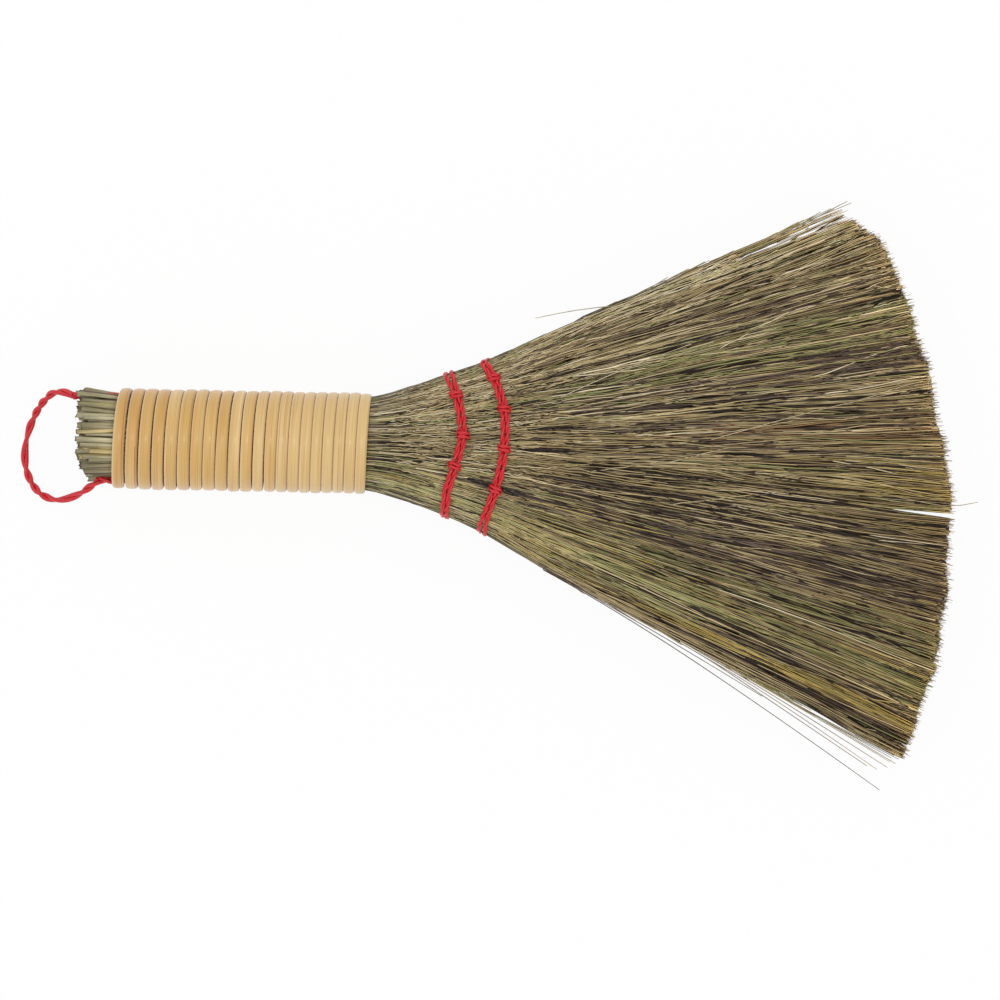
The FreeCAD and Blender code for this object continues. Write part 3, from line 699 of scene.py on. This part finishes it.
def strayStrands(number):
    lines, radii, tones = [], [], []
    hairs = strays.get(number, []) + (edgeFrays(number) if number in (0, stems["bundles"] - 1) else [])
    for *points, tone in hairs:
        flat = np.array([(*point, 0.0) for point in points], float)
        line = evenly(smoothLine(flat, 8), frays["step"])[0]
        middle, half, height, thick, fullness = section(line[:, 0])
        share = np.clip(np.abs(line[:, 1] - middle) / half, 0.0, 1.0)
        line[:, 2] = height + thick * riseAt(share, fullness) * (share < 0.9) + frays["above"]
        lines.append(line)
        radii.append(np.linspace(*frays["radius"], len(line)))
        tones.append(tone)
    return lines, radii, tones


def grassMap(tones):
    def rule(tube, ring, side, sides, counts):
        column = np.floor(tones[tube] * (grassColumns - 1) + 0.5)
        u = column + columnPart[0] + (columnPart[1] - columnPart[0]) * side / sides
        return u / grassColumns, 0.01 + 0.98 * ring / (counts[tube] - 1)
    return rule


def addGrass(name, strands, replaced=()):
    lines, radii, tones = (sum(lists, []) for lists in zip(*strands))
    mesh = tubeMesh(name, lines, radii, 0, "OFBake", grassMap(np.array(tones)))
    addPiece(name, mesh, driedGrass, "broom", replaced)


for number in range(stems["bundles"]):
    strands = [bundleStrands(number, kind) for kind in stems["kinds"].values()] + [strayStrands(number)]
    addGrass(f"grassStems{number + 1}", strands, [f"grass_bundle_{number + 1}"])
addGrass("cutFaceStems", [bundleStrands(number, stems["cutFace"]) for number in range(stems["bundles"])])
for name, loose in looseStems.items():
    addGrass(name, [looseStrands(loose)])
print("stems laid")

# Rattan peel, split and shaved flat: smooth waxy skin over fine lengthwise fibres, with a painted highlight
# along one edge of the strip and painted shade along the other
rattanFinish = {
    "fibre": 0.22, "fibreRun": 60.0, "patchRun": 48.0, "hueRun": 75.0,
    # Washes over the peel: where they start and are full, their greatest share, their colour
    "straw": (0.38, 0.64, 0.6, "#D3B46C"),
    "paler": (800.0, 1700.0, 0.45, "#E6D09C"),          # millimetres along the strip, towards the fan
    "deeper": (500.0, 0.0, 0.3, "#C08A3E"),             # and towards the butts
    # Painted highlight along one edge of the strip, painted shade along the other
    "paintedEdgeLight": (-1.2, -1.75, 0.5, "#F1DDB4"),          # millimetres across the strip
    "darkEdge": (1.3, 1.85, 0.4, "#A87C3A"),
    "crackPlace": 1.2, "crackWidth": 0.09, "crackEnd": 96.0, "crackShare": 0.75, "crack": "#6B431C",
}
rattanPeel, tree = newMaterial("shavedRattanPeel")
mapNode, u, v = addMap(tree, "stripMap")      # u is millimetres along the strip, v is millimetres across it
fibreMap = addNode(tree, "Mapping", {"Vector": mapNode,
    "Scale": (1 / rattanFinish["fibreRun"], 1 / rattanFinish["fibre"], 1)})
fibres = addNode(tree, "TexNoise", {"Vector": fibreMap, "Scale": 1.0, "Detail": 3.0, "Roughness": 0.6})
patchMap = addNode(tree, "Mapping", {"Vector": mapNode, "Scale": (1 / rattanFinish["patchRun"], 0.12, 1)})
patches = addNode(tree, "TexNoise", {"Vector": patchMap, "Scale": 1.0, "Detail": 2.0})
peel = addNode(tree, "ValToRGB", {"Fac": patches},
    stops=[(0.26, "#C89547"), (0.42, "#D8AB63"), (0.55, "#E3BE80"), (0.74, "#F0D5A2")])
hueMap = addNode(tree, "Mapping", {"Vector": mapNode, "Location": (9.0, 4.0, 0.0),
    "Scale": (1 / rattanFinish["hueRun"], 0.5, 1)})
hues = addNode(tree, "TexNoise", {"Vector": hueMap, "Scale": 1.0, "Detail": 2.0})
peel = wash(tree, peel, hues, *rattanFinish["straw"])
peel = wash(tree, peel, u, *rattanFinish["paler"])
peel = wash(tree, peel, u, *rattanFinish["deeper"])
fibreColour = addNode(tree, "ValToRGB", {"Fac": fibres},
    stops=[(0.3, "#A98655"), (0.46, "#F0E4D0"), (0.75, "#FFFFFF")])
skin = addNode(tree, "Mix", {0: 0.8, 6: peel, 7: fibreColour}, data_type="RGBA", blend_type="MULTIPLY")
skin = wash(tree, skin, v, *rattanFinish["paintedEdgeLight"])
skin = wash(tree, skin, v, *rattanFinish["darkEdge"])
# A crack runs along the first turn.
crackLine = addNode(tree, "Math", {0: v, 1: rattanFinish["crackPlace"], 2: rattanFinish["crackWidth"]},
    operation="COMPARE")
crackRun = addNode(tree, "Math", {0: u, 1: rattanFinish["crackEnd"]}, operation="LESS_THAN")
crack = addNode(tree, "Math", {0: crackLine, 1: crackRun}, operation="MULTIPLY")
crack = addNode(tree, "Math", {0: crack, 1: rattanFinish["crackShare"]}, operation="MULTIPLY")
cracked = addNode(tree, "Mix", {0: crack, 6: skin, 7: linear(rattanFinish["crack"])}, data_type="RGBA")
rough = addNode(tree, "MapRange", {"Value": fibres, "To Min": 0.36, "To Max": 0.56})
grain = addNode(tree, "Bump", {"Height": fibres, "Strength": 0.35, "Distance": 0.00008})
shader = addNode(tree, "BsdfPrincipled", {"Base Color": cracked, "Roughness": rough, "IOR": 1.5,
    "Normal": grain, "Coat Weight": 0.14, "Coat Roughness": 0.12, "Sheen Weight": 0.45,
    "Sheen Roughness": 0.4})
addNode(tree, "OutputMaterial", {"Surface": shader})

rattan = {
    "profile": ((-1.9, 0.0), (-1.93, 0.75), (-1.86, 1.1), (-1.68, 1.36), (-1.35, 1.56), (-0.8, 1.7),
                (0.0, 1.75), (0.8, 1.7), (1.35, 1.56), (1.68, 1.36), (1.86, 1.1), (1.93, 0.75), (1.9, 0.0)),
    "width": 3.86, "crown": 1.75,                   # of the profile
    "first": 1.865,             # middle of the strip where it starts
    "radius": 15.7, "pitch": 4.18, "start": -120.0, "turn": 7440.0, "stepsPerTurn": 48,
    "spread": 2.4,              # turns at the butt end are wider than those at the fan
    "shift": 2.1,               # the strip as seen starts nearer to the fan, and ends almost with the solid
    "shrink": 0.0165,
    "press": 0.16,              # the strip is pressed this much nearer to the stems
    "tuck": 40.0,               # degrees over which each end dives under its neighbour
}
firstX = rattan["first"] - rattan["pitch"] * rattan["start"] / 360.0


def woundStrip():
    bm = bmesh.new()
    angle = math.radians(rattan["start"])
    verts = []
    for x, rise in rattan["profile"]:
        radius = rattan["radius"] + rise
        verts.append(bm.verts.new((x + rattan["first"], radius * math.sin(angle), radius * math.cos(angle))))
    edges = [bm.edges.new((verts[i], verts[i - 1])) for i in range(len(verts))]
    steps = int(rattan["turn"] / 360 * rattan["stepsPerTurn"])
    bmesh.ops.spin(bm, geom=verts + edges, cent=(0, 0, 0), axis=(-1, 0, 0), steps=steps,
        dvec=(rattan["pitch"] * rattan["turn"] / 360 / steps, 0, 0),
        angle=math.radians(rattan["turn"]), use_merge=False, use_duplicate=False)
    bmesh.ops.holes_fill(bm, edges=[e for e in bm.edges if e.is_boundary], sides=0)
    bmesh.ops.recalc_face_normals(bm, faces=bm.faces)
    # Each vertex is found again as a turn along the strip and a place across it, which vary the strip.
    layer = bm.loops.layers.uv.new("stripMap")
    places = {}
    for vert in bm.verts:
        x, y, z = vert.co
        facing = math.degrees(math.atan2(y, z))
        turn = facing + 360 * round(((x - firstX) * 360 / rattan["pitch"] - facing) / 360)
        places[vert] = (turn, x - firstX - rattan["pitch"] * turn / 360)
    for vert in bm.verts:
        turn, aside = places[vert]
        x, y, z = vert.co
        crown = math.hypot(y, z) - rattan["radius"]
        a = math.radians(turn)
        gap = 0.17 + 0.15 * math.sin(a * 0.37 + 1.0) + 0.12 * math.sin(a * 1.13)
        gap = max(0.03, gap * (1.0 - 0.8 * ease(x, 52, 62)) + 0.12 * (1.0 - ease(x, 6, 14)))
        width = (rattan["pitch"] - gap) / rattan["width"]
        lift = 0.10 * math.sin(a * 0.83 + 0.4) + 0.06 * math.sin(a * 2.3)
        toEnd = min(turn - rattan["start"], rattan["start"] + rattan["turn"] - turn)
        tuck = max(0.0, min(1.0, toEnd / rattan["tuck"]))
        centre = x - aside
        run = (centre - rattan["first"]) / (windingLength - 2 * rattan["first"])
        centre += rattan["spread"] * math.sin(math.pi * run)
        stretch = 1 + rattan["spread"] * math.pi / windingLength * math.cos(math.pi * x / windingLength)
        x = centre + aside * width * stretch * (0.55 + 0.45 * tuck)
        radius = rattan["radius"] - 0.5 * (1 - tuck) + crown * (0.6 + 0.4 * tuck)
        radius += lift * crown / rattan["crown"] - rattan["press"]
        x = x * (1 - rattan["shrink"]) + rattan["shift"]
        vert.co = (x, radius * math.sin(a), radius * math.cos(a))
    for face in bm.faces:
        face.smooth = True
        for loop in face.loops:
            turn, aside = places[loop.vert]
            loop[layer].uv = (math.radians(turn) * rattan["radius"], aside)
    return meshOf("rattanStrip", bm)


addPiece("rattanStrip", woundStrip(), rattanPeel, "broom", ["rattan_winding"])

# Two lines of paired twine across the neck, each going twice round it
lineTwine = {
    "plies": 2, "plyRadius": 0.49, "plyReach": 0.41, "lay": 8.0, "step": 0.6,
    "unevenness": 0.8, "unevenRun": 19.0,
}
stitchLines = {
    "inner": {
        "radius": 55.0, "angles": (-26.5, -17.2, -7.8, 3.6, 18.2, 26.7),
        "radii": (54.2, 51.9, 52.6, 54.9, 54.9, 54.8), "knots": (18.2, 3.6, -7.8), "spreads": (27.5, 0.55),
    },
    "outer": {
        "radius": 69.0, "angles": (-26.1, -20.3, -12.8, -0.7, 10.4, 19.8, 25.5),
        "radii": (68.0, 67.3, 67.75, 68.9, 69.8, 68.8, 67.0), "knots": (19.8, 10.4, -0.7, -12.8),
        "spreads": (-27.0, 0.5),
    },
}
lineSet = {"height": 0.62, "step": 0.78, "pinch": 0.6, "knotPull": 0.12, "knotWidth": 1.6, "spreadWidth": 4.5}


def surfacePoint(line, turn, sideStep):
    x = np.full(len(turn), fanApex + line["radius"])
    cosine, sine = np.cos(turn), np.sin(turn)
    front = ease(sine, -0.35, 0.35)
    for settle in range(25):
        middle, half, height, thick, fullness = section(x)
        y = middle + half * np.sign(cosine) * np.abs(cosine) ** (2 / fullness)
        y = y + edgeStep(x, cosine, lineSet["pinch"])
        angle = np.degrees(np.arctan2(y, x - fanApex))
        frontRadius = np.interp(angle, line["angles"], line["radii"])
        knotPull = sum(np.exp(-((angle - k) / lineSet["knotWidth"]) ** 2) for k in line["knots"])
        spread = line["spreads"][1] * np.exp(-((angle - line["spreads"][0]) / lineSet["spreadWidth"]) ** 2)
        step = sideStep * (lineSet["step"] - lineSet["knotPull"] * knotPull + spread * front)
        radius = line["radius"] + (frontRadius - line["radius"]) * front + step
        x = fanApex + np.sqrt(np.maximum(1.0, radius ** 2 - y ** 2))
    z = height + thick * np.sign(sine) * np.abs(sine) ** (2 / fullness)
    normalY = np.sign(cosine) * np.abs(cosine) ** (2 - 2 / fullness) / half
    normalZ = np.sign(sine) * np.abs(sine) ** (2 - 2 / fullness) / thick
    size = np.hypot(normalY, normalZ)
    return x, y + lineSet["height"] * normalY / size, z + lineSet["height"] * normalZ / size


# One strand of a line, all the way round the neck
def bandLine(line, sideStep):
    turn = np.linspace(-0.5 * math.pi, 1.5 * math.pi, 260)
    return np.stack(surfacePoint(line, turn, np.full(len(turn), sideStep)), axis=1)


knotTwine = {
    "plies": 2, "plyRadius": 0.40, "plyReach": 0.26, "lay": 6.5, "step": 0.5,
    "unevenness": 0.5, "unevenRun": 11.0,
}
knot = {"leg": 1.95, "inner": 0.8, "over": 2.48, "shift": 0.74, "middle": 1.5}


# Twine drawn twice through the stems, over the pair in front and behind
def knotLine(line, angle):
    angleTurn = math.radians(angle)
    radius = float(np.interp(angle, line["angles"], line["radii"]))
    way = np.array((math.cos(angleTurn), math.sin(angleTurn), 0.0))
    across = np.array((-way[1], way[0], 0.0))
    place = np.array((fanApex, 0.0, 0.0)) + way * radius
    middle, half, height, thick, fullness = section(place[0])
    rise = riseAt((place[1] - middle) / half, fullness)
    top = height + thick * rise
    bottom = height - thick * rise
    leg = knot["leg"]
    bend = knot["inner"] * leg
    high = top + knot["over"]
    deep = bottom - knot["over"]
    # Outward along the broom, sideways along the line, and level
    route = [
        (-leg, 1.2, height), (-leg, 1.2, top), (-bend, 1.1, high), (bend, 0.2, high), (leg, 0.1, top),
        (leg, 0.5, bottom), (bend, 0.7, deep), (-bend, 2.2, deep), (-leg, 2.4, bottom), (-leg, 2.8, top),
        (-bend, 2.7, high), (bend, 1.8, high), (leg, 1.7, top), (leg, 1.7, height),
    ]
    points = []
    for outward, sideways, level in route:
        aside = (sideways - knot["middle"]) * knot["shift"]
        points.append(place * (1, 1, 0) + way * outward + across * aside + np.array((0, 0, level)))
    return smoothLine(points, 10)


for name, line in stitchLines.items():
    plies = twistedPlies(bandLine(line, -1.0), lineTwine)[0]
    plies += twistedPlies(bandLine(line, 1.0), lineTwine, phase=2.1)[0]
    addTwine(f"{name}StitchLine", plies, lineTwine, redTwine, "broom", [f"{name}_stitch_band"])
    for number, angle in enumerate(line["knots"]):
        plies = twistedPlies(knotLine(line, angle), knotTwine, phase=1.3 * number)[0]
        addTwine(f"{name}Stitch{number + 1}", plies, knotTwine, redTwine, "broom",
            [f"{name}_stitch_{number + 1}"])
print("stitches laid")

# Grass stems cut across behind the winding: thicker, grey-green tubes, darker at the cut, with painted shade
# on the sunken floors of their hollow ends
buttTones = [
    (0.0, "#5E4F40"), (0.15, "#83755D"), (0.3, "#9C9070"), (0.45, "#B0A580"), (0.6, "#C0B58E"),
    (0.72, "#D3C9A5"), (0.82, "#B1A95F"), (0.9, "#D8C286"), (1.0, "#E6D09A"),
]
# The cut rims, the sunken hollow floors and the last half millimetre behind the cut darken; on the hollow
# floors this is painted shade
cutWash = (0.5, 0.05, 0.75, "#3B3028")                # darker towards the cut, millimetres from it
cutStems, tree = newMaterial("cutGrassStems")
mapNode, u, v = addMap(tree, "buttMap")       # u is the stem's tone, v is millimetres from the cut
tone = addNode(tree, "ValToRGB", {"Fac": u}, stops=buttTones)
place = addNode(tree, "TexCoord")
streakMap = addNode(tree, "Mapping", {"Vector": place.outputs["Object"], "Scale": (120.0, 2600.0, 2600.0)})
streaks = addNode(tree, "TexNoise", {"Vector": streakMap, "Scale": 1.0, "Detail": 3.0})
shade = addNode(tree, "MapRange",
    {"Value": streaks, "From Min": 0.25, "From Max": 0.75, "To Min": 0.62, "To Max": 1.04})
streaked = addNode(tree, "Mix", {0: 1.0, 6: tone, 7: shade}, data_type="RGBA", blend_type="MULTIPLY")
ended = wash(tree, streaked, v, *cutWash)
shader = addNode(tree, "BsdfPrincipled",
    {"Base Color": ended, "Roughness": 0.55, "IOR": 1.45, "Specular IOR Level": 0.35})
addNode(tree, "OutputMaterial", {"Surface": shader})

butts = {
    "spacing": 1.62, "rowShare": 0.866, "columns": 30, "jitter": 0.16, "radius": (0.55, 0.95), "taper": 0.92,
    "coreRadius": 15.3, "reach": 10.3, "inside": 9.0, "segments": 8, "lean": 0.04,
    "tones": ((0.0, 0.2), (0.25, 0.72), (0.8, 1.0)), "toneShares": (0.18, 0.73, 0.09),
    "short": 0.9, "uneven": 0.7, "cutBack": (0.5, 3.5), "cutBackShare": 0.35,
    "splayFrom": 6, "splay": 0.014, "splayLonger": 0.16,            # the upper stems splay
    "lowFrom": 8, "lowShorter": 0.45,
    "loopSide": -12.7, "loopLevel": -1.7,                           # room for the twine
    "ragged": 0.3, "wall": 0.3, "hollow": 1.1,
}


def stemButts():
    rng = np.random.default_rng(11)
    bm = bmesh.new()
    layer = bm.loops.layers.uv.new("buttMap")
    rowStep = butts["spacing"] * butts["rowShare"]
    for row in range(int(2 * butts["coreRadius"] / rowStep) + 1):
        for column in range(butts["columns"]):
            y = (column - butts["columns"] // 2 + 0.5 * (row % 2)) * butts["spacing"]
            y += rng.normal(0, butts["jitter"])
            z = -butts["coreRadius"] + row * rowStep + rng.normal(0, butts["jitter"])
            radius = rng.uniform(*butts["radius"])
            tone = rng.choice([rng.uniform(*tones) for tones in butts["tones"]], p=butts["toneShares"])
            length = butts["reach"] - butts["short"] - abs(rng.normal(0, butts["uneven"]))
            length -= rng.uniform(*butts["cutBack"]) * (rng.random() < butts["cutBackShare"])
            lean = rng.normal(0, butts["lean"], 2)
            if math.hypot(y, z) > butts["coreRadius"] - radius:
                continue
            above = max(0.0, y - butts["splayFrom"])
            lean[0] -= butts["splay"] * above
            length += butts["splayLonger"] * above - butts["lowShorter"] * max(0.0, -butts["lowFrom"] - y)
            if y - radius < butts["loopSide"] and z + radius > butts["loopLevel"]:
                continue
            depth = length + butts["inside"]
            slope = Matrix.Rotation(lean[0], 4, "Z") @ Matrix.Rotation(lean[1], 4, "Y")
            middle = Matrix.Translation((butts["inside"], y, z)) @ slope
            middle = middle @ Matrix.Translation((-depth / 2, 0, 0))
            made = bmesh.ops.create_cone(bm, cap_ends=True, cap_tris=False, segments=butts["segments"],
                radius1=radius, radius2=radius * butts["taper"], depth=depth,
                matrix=middle @ Matrix.Rotation(math.radians(90), 4, "Y"))
            faces = {f for v in made["verts"] for f in v.link_faces}
            caps = [f for f in faces if len(f.verts) == butts["segments"]]
            cutFace = min(caps, key=lambda f: f.calc_center_median().x)
            for vert in cutFace.verts:
                vert.co.x += rng.normal(0, butts["ragged"])
            wall = butts["wall"] * radius
            rim = bmesh.ops.inset_individual(bm, faces=[cutFace], thickness=wall, depth=0.0)["faces"]
            for vert in cutFace.verts:
                vert.co.x += butts["hollow"]
            for face in set(faces) | set(rim) | {cutFace}:
                face.smooth = len(face.verts) == 4
                for loop in face.loops:
                    fromCut = max(0.0, loop.vert.co.x - (butts["inside"] - depth))
                    if face == cutFace or face in rim:
                        fromCut = 0.0
                    loop[layer].uv = (tone, fromCut)
    return meshOf("stemButts", bm)


addPiece("stemButts", stemButts(), cutStems, "broom")

# Bound stems under the winding, seen only as dark lines between its turns: they take the darkest tones,
# painted shade for the deep gaps
bound = {"radius": 14.0, "start": 4.0, "end": 86.0, "ridges": 60, "valley": 0.965}


def boundStems():
    bm = bmesh.new()
    layer = bm.loops.layers.uv.new("OFBake")
    middle = (bound["start"] + bound["end"]) / 2
    turn = Matrix.Translation((middle, 0, 0)) @ Matrix.Rotation(math.radians(90), 4, "Y")
    bmesh.ops.create_cone(bm, cap_ends=True, segments=2 * bound["ridges"], radius1=bound["radius"],
        radius2=bound["radius"], depth=bound["end"] - bound["start"], matrix=turn)
    for vert in bm.verts:
        facing = math.atan2(vert.co.y, vert.co.z)
        if round(facing / math.pi * bound["ridges"]) % 2:
            vert.co.y *= bound["valley"]
            vert.co.z *= bound["valley"]
    # Painted shade: the faces take the darkest columns of the map
    for face in bm.faces:       # all in the darkest columns of the map
        for corner, loop in enumerate(face.loops):
            loop[layer].uv = (0.02 + 0.02 * (corner % 2), 0.3 + 0.2 * (corner // 2 % 2))
    return meshOf("boundStems", bm)


addPiece("boundStems", boundStems(), driedGrass, "broom")

# Ties under the winding, two-ply jute: dull and hairy, hidden when the broom is whole
tieTwine = {
    "plies": 2, "plyRadius": 0.32, "plyReach": 0.28, "lay": 5.0, "step": 0.6,
    "unevenness": 0.3, "unevenRun": 13.0,
    "places": {"rear": 40.0, "front": 74.0}, "turns": 3, "pitch": 1.7, "radius": 14.9, "inset": 0.8,
}
juteTwine, tree = newMaterial("spunJute")
mapNode = addNode(tree, "UVMap", uv_map="twineMap")
fibres = addNode(tree, "TexNoise", {"Vector": mapNode, "Scale": 3.0, "Detail": 3.0})
juteColour = addNode(tree, "ValToRGB", {"Fac": fibres}, stops=[(0.3, "#8A6E45"), (0.7, "#C4A675")])
hairs = addNode(tree, "Bump", {"Height": fibres, "Strength": 0.6, "Distance": 0.0001})
shader = addNode(tree, "BsdfPrincipled", {"Base Color": juteColour, "Roughness": 0.85, "Normal": hairs})
addNode(tree, "OutputMaterial", {"Surface": shader})
for name, place in tieTwine["places"].items():
    turn = np.linspace(0, 2 * math.pi * tieTwine["turns"], 160)
    x = place + tieTwine["inset"] + tieTwine["pitch"] * turn / (2 * math.pi)
    coil = np.stack((x, tieTwine["radius"] * np.sin(turn), tieTwine["radius"] * np.cos(turn)), axis=1)
    plies = twistedPlies(coil, tieTwine)[0]
    addTwine(f"{name}TieTwine", plies, tieTwine, juteTwine, "broom", [f"{name}_tie"])

# Floor: white paper sweep, shown white to the camera with the broom's soft shadow left on it
stageSet = {
    "floorSize": 8.0, "floorLevel": -0.0003, "whiteShare": 0.93, "world": 0.93, "lampPower": 3.6,
    "lampSize": 0.3, "lampPlace": (-0.135, 0.05, 1.7),
}
paper, tree = newMaterial("whitePaper")
rays = addNode(tree, "LightPath")
seen = addNode(tree, "Math", {0: rays.outputs["Is Camera Ray"], 1: rays.outputs["Is Glossy Ray"]},
    operation="MAXIMUM")
seen = addNode(tree, "Math", {0: seen, 1: rays.outputs["Is Transmission Ray"]}, operation="MAXIMUM")
whiteShare = addNode(tree, "Math", {0: seen, 1: stageSet["whiteShare"]}, operation="MULTIPLY")
matt = addNode(tree, "BsdfDiffuse", {"Color": linear("#F2F2F2")})
white = addNode(tree, "Emission", {"Color": (1, 1, 1, 1), "Strength": 1.0})
mixed = addNode(tree, "MixShader", {0: whiteShare, 1: matt, 2: white})
addNode(tree, "OutputMaterial", {"Surface": mixed})
bm = bmesh.new()
bmesh.ops.create_grid(bm, x_segments=1, y_segments=1, size=stageSet["floorSize"] / 2)
floorMesh = bpy.data.meshes.new("floor")
bm.to_mesh(floorMesh)
bm.free()
floorMesh.materials.append(paper)
floor = bpy.data.objects.new("floor", floorMesh)
floor.location = (0, 0, stageSet["floorLevel"])
scene.collection.objects.link(floor)

world = bpy.data.worlds.new("studio")
scene.world = world
world.use_nodes = True
tree = world.node_tree
tree.nodes.clear()
rays = addNode(tree, "LightPath")
seen = addNode(tree, "Math", {0: rays.outputs["Is Camera Ray"], 1: rays.outputs["Is Transmission Ray"]},
    operation="MAXIMUM")
strength = addNode(tree, "MapRange", {"Value": seen, "To Min": stageSet["world"], "To Max": 1.0})
sky = addNode(tree, "Background", {"Color": (1, 1, 1, 1), "Strength": strength})
addNode(tree, "OutputWorld", {"Surface": sky})

lamp = bpy.data.objects.new("softbox", bpy.data.lights.new("softbox", "AREA"))
lamp.data.energy = stageSet["lampPower"]
lamp.data.size = stageSet["lampSize"]
lamp.location = stageSet["lampPlace"]
lamp.rotation_euler = (-Vector(stageSet["lampPlace"])).to_track_quat("-Z", "Y").to_euler()
scene.collection.objects.link(lamp)
print("stage and light set")

bpy.context.view_layer.update()
